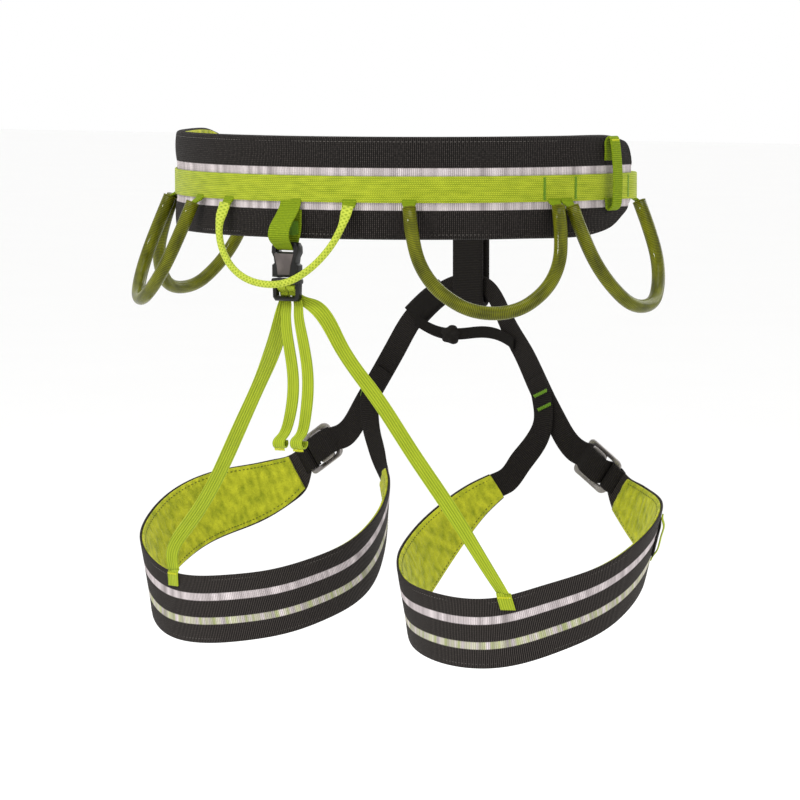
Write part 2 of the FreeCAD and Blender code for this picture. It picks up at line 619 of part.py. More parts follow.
def make_leg(side, name):
    rows = [leg_row(row[0]) for row in LEG_SHAPE]
    gap = size("layer_gap")
    band = size("band_thickness")
    band_rows = rows + [(Vector(124.9, 66.9, -199.8), Vector(0.57, 0.03, 0.82), 19)]
    feature("leg_band_" + name, strap_solid(mirrored(band_rows, side), -band, 0, side=side))
    liner_rows = [(point, across, width - 1.6) for point, across, width in rows]
    liner_outer = -band - gap
    feature("leg_liner_" + name, strap_solid(mirrored(liner_rows, side),
                                             liner_outer - size("liner_thickness"), liner_outer, side=side))
    half = half_thickness()
    end_across = leg_row(-134)[1] * -1
    inner = [(Vector(70, 64.7, -155.2), Vector(1, 0, 0.05), 15),
             (Vector(70, 64.2, -163), Vector(1, 0, -0.1), 15),
             (Vector(67.8, 62.6, -172), Vector(0.93, 0.1, -0.35), 15.5),
             (Vector(63, 59.3, -181.5), Vector(0.75, 0.15, -0.62), 16),
             (Vector(56.6, 55.2, -191.5), Vector(0.62, 0.2, -0.66), 16.5),
             (leg_point(-138, -203.3) + Vector(0.6, 1.0, 0.6), end_across, 17)]
    feature("leg_inner_strap_" + name, strap_solid(mirrored(inner, side), -half, half, side=side))
    start, slope = Vector(71, 67, -150), Vector(0.54, -0.02, -0.84)
    flat = Vector(0.84, 0, 0.54)
    outer = [(start + slope * 1.6, flat, 16.5), (start + slope * 14, flat, 16.5),
             (Vector(86.5, 67.6, -174), flat, 17.3), (Vector(95.5, 69.3, -181.5), Vector(0.66, 0, 0.75), 18),
             (Vector(105.5, 69.9, -186.2), Vector(0.57, 0, 0.82), 18.3)]
    feature("leg_outer_strap_" + name, strap_solid(mirrored(outer, side), -half, half, side=side))
    make_leg_buckle(side, name)
    tail_angles = (160, 153, 144, 133, 124, 115, 107)
    rises = (2, 5.5, 7, 6, 4.5, 3, 2)
    tail = [leg_row(a, rise, size("leg_tail_width")) for a, rise in zip(tail_angles, rises)]
    tail = list(reversed(tail))
    feature("leg_tail_" + name, strap_solid(mirrored(tail, side), 0.5, 1.9, side=side))
    base, across, _ = leg_row(117)
    outward = Vector(base.x - size("leg_centre_x"), base.y - size("leg_centre_y"), 0).normalize()
    around = UP.cross(outward)
    arch = [(19, 1.05), (15.5, 1.6), (12, 3.3), (4, 3.8), (-4, 3.9), (-8.5, 3.3), (-12, 1.7), (-15, 1.15)]
    keeper = [(base + across * rise + outward * offset, around, 7) for rise, offset in arch]
    feature("leg_tail_keeper_" + name, strap_solid(mirrored(keeper, side), -0.5, 0.5, side=side))
    hem_point, hem_across, _ = leg_row(HEM_ANGLE[side])
    hem_out = Vector(hem_point.x - size("leg_centre_x"), hem_point.y - size("leg_centre_y"), 0).normalize()
    hem = [(hem_point + hem_across * rise + hem_out * 0.95, UP.cross(hem_out), size("elastic_width"))
           for rise in (22.6, 18, 13.4)]
    feature("riser_hem_" + name, strap_solid(mirrored(hem, side), -0.55, 0.55, side=side))


def make_leg_buckle(side, name):
    """A slotted plate with a locking bar, standing on the rear face of the leg strap."""
    along = Vector(0.82 * side, -0.03, -0.57)
    outward = Vector(0, -1, 0)
    centre = Vector(112 * side, 67.9, -190.5)
    frame = local_frame(centre, along, outward)
    plate_body("leg_buckle_frame_" + name, sized("plate_length"), sized("plate_width"),
               sized("plate_thickness"),
               two_slot_windows("plate_slot", "plate_slot_width", "plate_rail"), frame)
    lift = frame.Rotation.multVec(Vector(-3.2, 0, size("plate_thickness") + 0.4))
    plate_body("leg_buckle_bar_" + name, sized("bar_length"), sized("bar_plate_width"),
               sized("bar_plate_thickness"), [], Placement(centre + lift, frame.Rotation))


# ---- bridge between the leg loops ----

# Points of the bridge from the left leg's junction to the right one, with the webbing's width there.
BRIDGE_ROUTE = [((-71, 67, -150), 16.5), ((-62.5, 70.5, -134), 16.5), ((-53, 74.5, -115.5), 16.5),
                ((-42, 78.4, -96.5), 15.5), ((-30, 81.7, -84.5), 14), ((-21.5, 83.2, -78.2), 13),
                ((-12, 84.1, -73.8), 12.4), ((0, 84.3, -72), 12), ((12, 84.1, -74.4), 12), ((25, 82, -88.4), 12.5),
                ((36.5, 78.4, -104.5), 14), ((48.5, 74.5, -118.5), 15.5), ((60, 70.5, -134.5), 16.5),
                ((71, 67, -150), 16.5)]


def bridge_rows():
    path = [(Vector(*point), width) for point, width in BRIDGE_ROUTE]
    rows = []
    for index, (point, width) in enumerate(path):
        before = path[max(index - 1, 0)][0]
        after = path[min(index + 1, len(path) - 1)][0]
        run = after - before
        rows.append((point, Vector(-run.z, 0, run.x).normalize(), width))
    return rows


def make_bridge():
    rows = bridge_rows()
    half = half_thickness()
    feature("bridge_webbing", strap_solid(rows, -half, half))
    covered = [(point, across, 20) for point, across, _ in rows[3:6]]
    room = [(point, across, 18) for point, across, _ in rows[2:7]]
    sleeve = strap_solid(covered, -2.6, 2.6).cut(strap_solid(room, -1.6, 1.6))
    feature("bridge_sleeve", sleeve)
    path = [(-38, 72.6, -98.5), (-29, 73.6, -103), (-20, 74.5, -106.2), (-10, 75, -107.2), (0, 75.3, -106.6),
            (14, 75.7, -105), (28, 75.4, -106.5), (41, 73.6, -112)]
    strip = [(Vector(*point), Vector(0, 0, 1), 8) for point in path]
    feature("bridge_keeper_strap", strap_solid(strip, -0.6, 0.6))
    toggle = bound_box("toggle_block", sized("toggle_length"), sized("toggle_depth"), sized("toggle_height"),
                       ("0 mm", "0 mm", "0 mm"))
    toggle = rounded("toggle_round", toggle, 2.2, along_y)
    slot = bound_box("toggle_slot_box", "Dimensions.toggle_length * 2 mm", sized("toggle_slot"),
                     sized("toggle_slot_height"), ("0 mm", "0 mm", "0 mm"))
    whole = cut("toggle_cut", toggle, slot)
    whole.Placement = local_frame(Vector(-10, 74.95, -107.1), Vector(0.998, 0.04, 0.0), UP)
    keep(whole, "bridge_keeper_slider")


# ---- assembly ----

make_belt()
make_waist_buckle()
make_tail_keeper()
make_tie_in_loop()
make_belay_loop()
for loop_name, first_angle, last_angle in GEAR_LOOPS:
    make_gear_loop(loop_name, first_angle, last_angle)
make_haul_loop()
make_clip_slot("clip_slot_right", 80.5)
make_clip_slot("clip_slot_left", -80.5)
make_riser_anchor()
make_rear_socket()
make_rear_plug()
make_prong("rear_prong_right", 1)
make_prong("rear_prong_left", -1)
make_risers()
for leg_side, leg_name in ((1, "right"), (-1, "left")):
    make_leg(leg_side, leg_name)
make_bridge()

doc.recompute()
for thing in doc.Objects:
    if "Invalid" in thing.State or "Error" in thing.State:
        raise RuntimeError(f"{thing.Name} failed to compute: {thing.State}")
for thing in nodes:
    if thing.Shape.isNull() or not thing.Shape.isValid():
        raise RuntimeError(f"{thing.Label} has no valid shape")
os.makedirs("parts", exist_ok=True)
for thing in nodes:
    thing.Shape.exportStep(f"parts/{thing.Label}.step")
print(len(nodes), "sub-parts")
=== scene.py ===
"""The looks of a climbing harness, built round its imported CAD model.

Shapes are worked out in millimetres and written to meshes in metres. +X is the wearer's right,
+Y the wearer's front, +Z up, and the origin is the centre of the waist opening.
"""
import math

import bmesh
import bpy
import numpy as np
from mathutils import Matrix, Vector, noise


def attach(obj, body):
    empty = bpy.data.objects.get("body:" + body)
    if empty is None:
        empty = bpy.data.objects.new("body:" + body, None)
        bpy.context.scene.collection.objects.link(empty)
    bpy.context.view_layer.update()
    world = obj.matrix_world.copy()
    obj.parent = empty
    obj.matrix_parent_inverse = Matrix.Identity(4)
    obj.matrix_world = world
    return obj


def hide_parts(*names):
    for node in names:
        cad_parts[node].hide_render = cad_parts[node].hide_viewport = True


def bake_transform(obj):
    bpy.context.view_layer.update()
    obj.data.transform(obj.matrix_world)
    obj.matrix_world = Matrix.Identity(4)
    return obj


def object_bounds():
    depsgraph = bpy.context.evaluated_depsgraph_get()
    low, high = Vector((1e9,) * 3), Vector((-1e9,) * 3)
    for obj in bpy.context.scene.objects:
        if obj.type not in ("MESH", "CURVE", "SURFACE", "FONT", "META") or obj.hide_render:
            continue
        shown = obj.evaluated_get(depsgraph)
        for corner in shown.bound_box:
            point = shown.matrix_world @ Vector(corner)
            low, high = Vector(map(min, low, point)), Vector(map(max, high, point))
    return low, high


MM = 0.001
UP = Vector((0, 0, 1))
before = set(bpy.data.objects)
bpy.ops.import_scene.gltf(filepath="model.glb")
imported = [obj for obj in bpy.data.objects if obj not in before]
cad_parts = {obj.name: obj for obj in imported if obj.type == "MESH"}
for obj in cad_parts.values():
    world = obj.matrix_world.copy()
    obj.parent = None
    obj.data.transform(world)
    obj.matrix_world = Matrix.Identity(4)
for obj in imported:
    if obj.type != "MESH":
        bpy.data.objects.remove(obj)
cad_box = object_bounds()


# ---- camera, light and floor ----

CAMERA_PLACE = Vector((1.6324, -2.5186, 0.1160))
CAMERA_TARGET = Vector((0.0047, -0.0121, -0.1455))
LENS, SENSOR = 202.5, 36.0


def aimed(thing, place, target):
    thing.location = place
    thing.rotation_euler = (Vector(target) - Vector(place)).to_track_quat("-Z", "Y").to_euler()
    bpy.context.scene.collection.objects.link(thing)
    return thing


def make_camera():
    data = bpy.data.cameras.new("camera")
    data.lens, data.sensor_width = LENS, SENSOR
    data.clip_end = 60
    bpy.context.scene.camera = aimed(bpy.data.objects.new("camera", data), CAMERA_PLACE, CAMERA_TARGET)


def make_light(name, place, size, power):
    data = bpy.data.lights.new(name, "AREA")
    data.shape = "SQUARE"
    data.size, data.energy = size, power
    aimed(bpy.data.objects.new(name, data), place, (0, 0, -0.13))


def make_stage():
    make_light("key", (-0.9, -2.2, 1.9), 0.5, 46)
    make_light("fill", (2.4, -1.0, 0.6), 1.6, 14)
    make_light("front", (0.3, 2.3, 0.9), 1.6, 22)
    make_light("top", (0.1, -0.2, 2.4), 1.4, 22)
    world = bpy.data.worlds.new("studio")
    world.use_nodes = True
    world.node_tree.nodes["Background"].inputs["Color"].default_value = (1, 1, 1, 1)
    world.node_tree.nodes["Background"].inputs["Strength"].default_value = 1.0
    bpy.context.scene.world = world
    bpy.context.scene.view_settings.view_transform = "Standard"
    mesh = bpy.data.meshes.new("floor")
    level = cad_box[0][2] - 0.35
    reach = 20.0
    mesh.from_pydata([(-reach, -reach, level), (reach, -reach, level), (reach, reach, level),
                      (-reach, reach, level)], [], [(0, 1, 2, 3)])
    floor = bpy.data.objects.new("floor", mesh)
    bpy.context.scene.collection.objects.link(floor)
    paint = Paint("floor_paint")
    grain = paint.noise(paint.place(), 3.0, 3)
    paint.colour(paint.mix(grain, (0.955, 0.955, 0.95), (0.975, 0.975, 0.97)))
    paint.set(Roughness=0.9)
    mesh.materials.append(paint.material)


# ---- materials ----

class Paint:
    """Wires one procedural material; coordinates along (u) and across (v) a strip are in millimetres."""

    def __init__(self, name):
        self.material = bpy.data.materials.new(name)
        self.material.use_nodes = True
        self.tree = self.material.node_tree
        self.shader = self.tree.nodes["Principled BSDF"]

    def set(self, **values):
        for name, value in values.items():
            self.shader.inputs[name.replace("_", " ")].default_value = value

    def feed(self, socket, value):
        if isinstance(value, bpy.types.NodeSocket):
            self.tree.links.new(value, socket)
        elif isinstance(value, tuple) and len(value) == 3 and socket.type == "RGBA":
            socket.default_value = (*value, 1)
        else:
            socket.default_value = value

    def node(self, kind, inputs, out=0, **settings):
        made = self.tree.nodes.new(kind)
        for name, value in settings.items():
            setattr(made, name, value)
        for name, value in inputs.items():
            self.feed(made.inputs[name], value)
        return made.outputs[out]

    def math(self, operation, *values):
        return self.node("ShaderNodeMath", dict(enumerate(values)), operation=operation)

    def strip(self):
        """The two coordinates of a strip: along it and across it."""
        parts = self.tree.nodes.new("ShaderNodeSeparateXYZ")
        self.tree.links.new(self.node("ShaderNodeUVMap", {}), parts.inputs[0])
        return parts.outputs[0], parts.outputs[1]

    def place(self):
        return self.tree.nodes.new("ShaderNodeTexCoord").outputs["Object"]

    def join(self, x, y, z=0.0):
        return self.node("ShaderNodeCombineXYZ", {0: x, 1: y, 2: z})

    def wave(self, coordinate, pitch, shift=0.0):
        turned = self.math("MULTIPLY_ADD", coordinate, 2 * math.pi / pitch, shift)
        return self.math("MULTIPLY_ADD", self.math("SINE", turned), 0.5, 0.5)

    def noise(self, vector, scale, detail=2):
        return self.node("ShaderNodeTexNoise", {"Vector": vector, "Scale": scale, "Detail": detail})

    def span(self, value, low, high):
        """0 below low, 1 above high."""
        return self.node("ShaderNodeMapRange", {"Value": value, "From Min": low, "From Max": high})

    def between(self, value, low, high, soft=0.25):
        return self.math("MULTIPLY", self.span(value, low - soft, low + soft),
                         self.span(value, high + soft, high - soft))

    def mix(self, factor, first, second):
        return self.node("ShaderNodeMix", {0: factor, 6: first, 7: second}, out=2, data_type="RGBA")

    def colour(self, value):
        self.feed(self.shader.inputs["Base Color"], value)

    def rough(self, value, low, high):
        self.feed(self.shader.inputs["Roughness"], self.node(
            "ShaderNodeMapRange", {"Value": value, "To Min": low, "To Max": high}))

    def bump(self, height, distance, strength=1.0):
        self.feed(self.shader.inputs["Normal"], self.node(
            "ShaderNodeBump", {"Height": height, "Distance": distance * MM, "Strength": strength}))

    def cloth(self, sheen=0.08, shine=0.14):
        self.set(Sheen_Weight=sheen, Sheen_Roughness=0.45, Specular_IOR_Level=shine)


BLACK_LOW, BLACK_HIGH = (0.003, 0.0024, 0.0021), (0.105, 0.09, 0.082)
# PALE_LOW is the pale trim's colour in its painted fold shade.
PALE_LOW, PALE_HIGH = (0.13, 0.11, 0.11), (0.78, 0.7, 0.71)
LIME_LOW, LIME_HIGH = (0.13, 0.185, 0.002), (0.48, 0.53, 0.03)


def ruched_stripe(paint, along, low=PALE_LOW, high=PALE_HIGH):
    """Pale ribbed trim with the painted shade of uneven folds along its length."""
    fold_shade = paint.noise(paint.join(along, 0.0), 0.12, 4)
    fine = paint.wave(along, 1.25)
    ribs = paint.math("MULTIPLY_ADD", fine, 0.6, 0.4)
    return paint.mix(paint.math("MULTIPLY", paint.span(fold_shade, 0.22, 0.62), ribs), low, high)


def woven_black(name, stripes, pitch, dashes=False, glint_speckle=0.55):
    """Black ribbed band; stripes are the (low, high) heights across it where the trim is pale."""
    paint = Paint(name)
    along, across = paint.strip()
    rib = paint.wave(along, pitch)
    cell = paint.join(paint.math("MULTIPLY", along, 1 / pitch), paint.math("MULTIPLY", across, 0.8))
    speck = paint.noise(cell, 0.9, 3)
    cross = paint.wave(across, 1.25)
    # Painted highlight: the rib crests are painted lighter, with painted glints in specks along the cross threads.
    light = paint.math("MULTIPLY", cross, paint.span(speck, 0.35, 0.62))
    lit = paint.math("MULTIPLY", paint.math("POWER", rib, 2.0),
                     paint.math("MULTIPLY_ADD", light, glint_speckle, 0.75 - glint_speckle))
    base = paint.mix(lit, BLACK_LOW, BLACK_HIGH)
    for number, (low, high) in enumerate(stripes):
        trim = ruched_stripe(paint, along)
        if dashes and number == 1:
            dash = paint.span(paint.noise(paint.join(along, 3.0), 0.3, 2), 0.4, 0.62)
            trim = paint.mix(dash, trim, ruched_stripe(paint, along, (0.18, 0.2, 0.09), (0.5, 0.53, 0.27)))
        base = paint.mix(paint.between(across, low, high), base, trim)
    paint.colour(base)
    height = paint.math("MULTIPLY_ADD", paint.math("MULTIPLY", rib, cross), 0.4, rib)
    paint.bump(height, 0.28)
    paint.rough(speck, 0.62, 0.85)
    paint.cloth(0.0, 0.1)
    return paint.material


def herringbone(name, low, high, pitch=1.5, chevron=5.6, sheen=0.06):
    """Lime webbing: fine slanting yarns that change direction in lengthwise bands."""
    paint = Paint(name)
    along, across = paint.strip()
    zigzag = paint.math("PINGPONG", across, chevron / 2)
    slanted = paint.math("ADD", along, zigzag)
    yarn = paint.wave(slanted, pitch)
    thread = paint.wave(across, 1.2)
    patch = paint.noise(paint.join(paint.math("MULTIPLY", along, 0.25), across), 0.35, 3)
    crossing = paint.math("MULTIPLY", yarn, thread)
    weave = paint.math("MULTIPLY_ADD", crossing, 0.85, paint.span(patch, 0.25, 1.7))
    paint.colour(paint.mix(weave, low, high))
    paint.bump(paint.math("MULTIPLY_ADD", yarn, 0.7, thread), 0.16)
    paint.rough(yarn, 0.5, 0.75)
    paint.cloth(sheen)
    return paint.material


def plain_web(name, low, high, pitch, crest_highlight=0.5):
    """Webbing with ribs straight across it."""
    paint = Paint(name)
    along, across = paint.strip()
    rib = paint.wave(along, pitch)
    fuzz = paint.noise(paint.join(along, across), 0.8, 3)
    # Painted highlight: the rib crests are painted lighter than the grooves between them.
    paint.colour(paint.mix(paint.math("MULTIPLY", rib, paint.span(fuzz, 0.2, 1.1 / crest_highlight)), low, high))
    paint.bump(paint.math("MULTIPLY_ADD", fuzz, 0.3, rib), 0.24)
    paint.rough(fuzz, 0.6, 0.85)
    paint.cloth(0.0, 0.1)
    return paint.material


def ribbed_elastic(name):
    """Elastic: its lengthwise cords are in the mesh, and fine threads cross them."""
    paint = Paint(name)
    along, across = paint.strip()
    cross = paint.wave(along, 0.62)
    tone = paint.noise(paint.join(paint.math("MULTIPLY", along, 0.1), across), 0.6, 2)
    groove = paint.wave(across, 9.5 / 6, math.pi / 2)
    shade = paint.math("MULTIPLY_ADD", groove, 0.62, paint.math("MULTIPLY", tone, 0.55))
    paint.colour(paint.mix(shade, (0.13, 0.19, 0.003), (0.35, 0.42, 0.02)))
    paint.bump(paint.math("MULTIPLY_ADD", cross, 0.4, groove), 0.14)
    paint.rough(tone, 0.5, 0.75)
    paint.cloth()
    return paint.material


def liner_mesh():
    """Airy lime lining: soft dents in the mesh, small holes in the weave."""
    paint = Paint("liner_fabric")
    along, across = paint.strip()
    flat = paint.join(along, across)
    holes = paint.node("ShaderNodeTexVoronoi", {"Vector": flat, "Scale": 0.95})
    stretched = paint.join(paint.math("MULTIPLY", along, 1.5), paint.math("MULTIPLY", across, 0.85))
    dents = paint.noise(stretched, 0.13, 1)
    # Painted shade: the colour is darker in the soft dents, and darker at the small holes.
    tone = paint.math("MULTIPLY_ADD", paint.span(holes, 0.05, 0.6), 0.2, paint.span(dents, 0.24, 0.8))
    paint.colour(paint.mix(tone, (0.15, 0.185, 0.003), (0.4, 0.41, 0.018)))
    paint.bump(paint.math("MULTIPLY_ADD", dents, 5.0, holes), 0.5, 0.8)
    paint.rough(dents, 0.65, 0.9)
    paint.cloth()
    return paint.material


def braided_cord():
    paint = Paint("braided_cord")
    along, around = paint.strip()
    slow = paint.math("MULTIPLY", along, 0.55)
    left = paint.wave(paint.math("ADD", slow, around), 1.5)
    right = paint.wave(paint.math("SUBTRACT", slow, around), 1.5)
    plait = paint.math("MAXIMUM", left, right)
    patch = paint.noise(paint.join(along, around), 0.3, 2)
    shade = paint.math("MULTIPLY", paint.span(plait, 0.0, 1.0), paint.span(patch, -0.4, 0.6))
    paint.colour(paint.mix(shade, (0.17, 0.24, 0.005), (0.44, 0.5, 0.05)))
    paint.bump(plait, 0.25)
    paint.rough(patch, 0.5, 0.7)
    paint.cloth()
    return paint.material


def clear_tube():
    """A ringed olive core seen through a clear glossy skin: the coat stays smooth over the rings."""
    paint = Paint("clear_tube")
    along, around = paint.strip()
    ring = paint.wave(along, 1.15)
    patch = paint.noise(paint.join(paint.math("MULTIPLY", along, 0.3), around), 0.2, 2)
    shade = paint.math("MULTIPLY", paint.math("MULTIPLY_ADD", ring, 0.7, 0.3), paint.span(patch, 0.0, 0.75))
    paint.colour(paint.mix(shade, (0.002, 0.003, 0.0), (0.19, 0.2, 0.005)))
    paint.bump(ring, 0.25, 0.8)
    paint.set(Roughness=0.5, Coat_Weight=0.4, Coat_Roughness=0.08, Coat_IOR=1.28, Specular_IOR_Level=0.06)
    return paint.material


def moulded_plastic(name, colour, roughness):
    paint = Paint(name)
    grain = paint.noise(paint.place(), 2600, 2)
    scuff = paint.noise(paint.place(), 90, 4)
    paint.colour(paint.mix(paint.span(scuff, 0.45, 0.75), colour, tuple(c * 1.8 for c in colour)))
    paint.bump(grain, 0.05, 0.5)
    paint.set(Specular_IOR_Level=0.28)
    paint.rough(scuff, roughness - 0.08, roughness + 0.12)
    return paint.material


def brushed_metal():
    paint = Paint("brushed_metal")
    stretched = paint.node("ShaderNodeMapping", {"Vector": paint.place(), "Scale": (300, 300, 2600)})
    lines = paint.noise(stretched, 1.0, 3)
    scuff = paint.noise(paint.place(), 160, 4)
    paint.colour(paint.mix(scuff, (0.16, 0.145, 0.14), (0.3, 0.28, 0.27)))
    paint.set(Metallic=0.85)
    paint.bump(lines, 0.04, 0.5)
    paint.rough(scuff, 0.26, 0.48)
    return paint.material


def thread(name, colour):
    paint = Paint(name)
    along, _ = paint.strip()
    twist = paint.wave(along, 0.5)
    paint.colour(paint.mix(twist, tuple(c * 0.55 for c in colour), colour))
    paint.bump(twist, 0.08)
    paint.set(Roughness=0.55)
    paint.cloth()
    return paint.material


WAIST_STRIPES = [(8.2, 13.6), (-13.3, -8.2)]
LEG_STRIPES = [(6.0, 11.0), (-10.2, -5.5)]
BELT_FABRIC = woven_black("belt_fabric", WAIST_STRIPES, 1.3, glint_speckle=0.6)
LEG_FABRIC = woven_black("leg_fabric", LEG_STRIPES, 1.2, dashes=True, glint_speckle=0.3)
LIME_WEB = herringbone("lime_webbing", LIME_LOW, LIME_HIGH)
LIME_TAPE = plain_web("lime_tape", (0.1, 0.16, 0.002), (0.42, 0.5, 0.02), 1.35, 0.9)
BLACK_WEB = plain_web("black_webbing", (0.0035, 0.0028, 0.0025), (0.05, 0.042, 0.038), 1.25, 0.75)
BELAY_WEB = plain_web("belay_webbing", (0.0035, 0.0028, 0.0025), (0.036, 0.03, 0.027), 1.15, 0.7)
SMOOTH_BLACK = plain_web("smooth_black_tape", (0.0055, 0.0045, 0.004), (0.017, 0.0145, 0.013), 0.55, 0.8)
ELASTIC = ribbed_elastic("lime_elastic")
LINER = liner_mesh()
CORD = braided_cord()
TUBE = clear_tube()
PLASTIC = moulded_plastic("black_plastic", (0.004, 0.0037, 0.0035), 0.34)
PANEL = moulded_plastic("panel_plastic", (0.07, 0.058, 0.055), 0.5)
METAL = brushed_metal()
GREEN_THREAD = thread("green_thread", (0.13, 0.27, 0.012))
YELLOW_THREAD = thread("yellow_thread", (0.58, 0.62, 0.02))
GREY_THREAD = thread("grey_thread", (0.12, 0.11, 0.1))
LINER_THREAD = thread("liner_thread", (0.09, 0.11, 0.004))


# ---- meshes ----

def spline_values(stations, values, wanted):
    """Natural cubic spline through rows of numbers, read at the wanted stations."""
    t, y = np.array(stations, float), np.array(values, float)
    count, gap = len(t), np.diff(t)
    system, target = np.eye(count), np.zeros_like(y)
    for i in range(1, count - 1):
        system[i, i - 1:i + 2] = gap[i - 1], 2 * (gap[i - 1] + gap[i]), gap[i]
        target[i] = 3 * ((y[i + 1] - y[i]) / gap[i] - (y[i] - y[i - 1]) / gap[i - 1])
    curve = np.linalg.solve(system, target)
    index = np.clip(np.searchsorted(t, wanted, side="right") - 1, 0, count - 2)
    part, step = (np.array(wanted) - t[index])[:, None], gap[index][:, None]
    low, high = y[index], y[index + 1]
    slope = (high - low) / step - step * (2 * curve[index] + curve[index + 1]) / 3
    cubic = (curve[index + 1] - curve[index]) / (3 * step)
    return low + part * (slope + part * (curve[index] + part * cubic))


def sampled(rows, step):
    """Rows of (point, across, width) spread evenly along a smooth line through the given ones."""
    stations = [0.0]
    for (start, _, _), (end, _, _) in zip(rows, rows[1:]):
        stations.append(stations[-1] + (Vector(end) - Vector(start)).length)
    count = max(4, int(stations[-1] / step) + 1)
    wanted = np.linspace(0, stations[-1], count)
    table = [[*point, *Vector(across).normalized(), width] for point, across, width in rows]
    return [(Vector(r[:3]), Vector(r[3:6]), r[6]) for r in spline_values(stations, table, wanted)]


def band_profile(inner, outer, steps=12, ribs=0, depth=0.0):
    """Cross-section of a flat band with rolled edges: (share of the half width, extra, offset)."""
    radius, middle = (outer - inner) / 2, (outer + inner) / 2
    ring = []
    for face in (1, -1):
        surface = middle + face * (radius - depth)
        for k in range(steps + 1):
            share = face * (-1 + 2 * k / steps)
            swell = depth * math.cos(math.pi * ribs * (share + 1)) if ribs else 0.0
            ring.append((share, -radius * share, surface + face * swell))
        for turn in (0.9, 0.3, -0.3, -0.9):
            angle = turn * face
            ring.append((face, face * radius * (math.cos(angle) - 1), middle + radius * math.sin(angle)))
    return ring


def finished(name, bm, material, body=None, nodes=(), slot_name=None):
    """Turns a bmesh in millimetres into a piece that rides on a body and stands for CAD nodes."""
    bmesh.ops.recalc_face_normals(bm, faces=bm.faces)
    bmesh.ops.scale(bm, vec=(MM, MM, MM), verts=bm.verts)
    mesh = bpy.data.meshes.new(name)
    bm.to_mesh(mesh)
    bm.free()
    mesh.materials.append(material)
    mesh.polygons.foreach_set("use_smooth", [True] * len(mesh.polygons))
    piece = bpy.data.objects.new(name, mesh)
    bpy.context.scene.collection.objects.link(piece)
    if body:
        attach(piece, body)
    if nodes:
        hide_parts(*nodes)
    return piece


OFF_THE_STRIPES = 100


def add_strip(bm, rows, profile, closed=False, side=1, lift=None, level=False, inside=-99):
    """Adds a band to a bmesh; lift moves a point along the normal.

    Faces at or under the offset `inside` get coordinates that are clear of the paint's stripes.
    """
    layer = bm.loops.layers.uv.verify()
    count, rings, marks = len(rows), [], []
    station = 0.0
    for index, (point, across, width) in enumerate(rows):
        before = rows[index - 1][0] if closed or index else point
        after = rows[(index + 1) % count][0] if closed or index + 1 < count else point
        normal = (after - before).cross(across).normalized() * side
        direction = across.normalized()
        if index:
            station += (point - rows[index - 1][0]).length
        ring, mark = [], []
        for share, extra, offset in profile:
            x = share * width / 2 + extra
            v = point.z + x * direction.z if level else x
            out = offset + (lift(station, v, offset, share) if lift else 0.0)
            ring.append(bm.verts.new(point + direction * x + normal * out))
            mark.append((station, v if offset > inside else v + OFF_THE_STRIPES))
        rings.append(ring)
        marks.append(mark)
    size = len(profile)
    for i in range(count if closed else count - 1):
        j = (i + 1) % count
        for k in range(size):
            m = (k + 1) % size
            face = bm.faces.new((rings[i][k], rings[j][k], rings[j][m], rings[i][m]))
            end_u = marks[j][k][0] if j else station + (rows[0][0] - rows[-1][0]).length
            uvs = (marks[i][k], (end_u, marks[j][k][1]), (end_u, marks[j][m][1]), marks[i][m])
            for loop, uv in zip(face.loops, uvs):
                loop[layer].uv = uv
    if not closed:
        for ring, mark, flip in ((rings[0], marks[0], False), (rings[-1], marks[-1], True)):
            face = bm.faces.new(ring if flip else list(reversed(ring)))
            for loop, uv in zip(face.loops, mark if flip else list(reversed(mark))):
                loop[layer].uv = uv


def strip(name, rows, profile, material, body=None, nodes=(), slot_name=None, step=1.5, **shape):
    bm = bmesh.new()
    dense = sampled(rows, step) if step else rows
    add_strip(bm, dense, profile, **shape)
    return finished(name, bm, material, body, nodes, slot_name)


def rounded_route(points, parts=8):
    """A smooth line that touches each run of the route at its middle."""
    path = [points[0]]
    for before, corner, after in zip(points, points[1:], points[2:]):
        start, end = (before + corner) / 2, (corner + after) / 2
        for k in range(1, parts + 1):
            f = k / parts
            path.append(start * (1 - f) ** 2 + corner * (2 * f * (1 - f)) + end * f ** 2)
    return path + [points[-1]]


def add_tube(bm, path, size_at, sides=20, up=None):
    """A round or oval bar along a path; size_at(share) gives its two radii there."""
    layer = bm.loops.layers.uv.verify()
    rings, stations = [], []
    station, count = 0.0, len(path)
    reference = Vector(up) if up else UP
    for index, point in enumerate(path):
        heading = (path[min(index + 1, count - 1)] - path[max(index - 1, 0)]).normalized()
        reference = (reference - heading * reference.dot(heading)).normalized()
        second = heading.cross(reference)
        if index:
            station += (point - path[index - 1]).length
        first_radius, second_radius = size_at(index / (count - 1))
        turn = [2 * math.pi * k / sides for k in range(sides)]
        rings.append([bm.verts.new(point + reference * (math.cos(a) * first_radius)
                                   + second * (math.sin(a) * second_radius)) for a in turn])
        stations.append((station, first_radius))
    for i in range(count - 1):
        for k in range(sides):
            m = (k + 1) % sides
            face = bm.faces.new((rings[i][k], rings[i][m], rings[i + 1][m], rings[i + 1][k]))
            around = [2 * math.pi * n / sides * stations[0][1] for n in (k, k + 1)]
            uvs = ((stations[i][0], around[0]), (stations[i][0], around[1]),
                   (stations[i + 1][0], around[1]), (stations[i + 1][0], around[0]))
            for loop, uv in zip(face.loops, uvs):
                loop[layer].uv = uv
    bm.faces.new(list(reversed(rings[0])))
    bm.faces.new(rings[-1])


def add_stitch(bm, start, end, radius):
    """One stitch: a short bar of thread with tapered ends."""
    path = [start + (end - start) * f for f in (0, 0.15, 0.5, 0.85, 1)]
    bulge = [0.35, 0.85, 1.0, 0.85, 0.35]
    add_tube(bm, path, lambda share: (radius * bulge[round(share * 4)],) * 2, sides=6, up=(0.3, 0.2, 1))


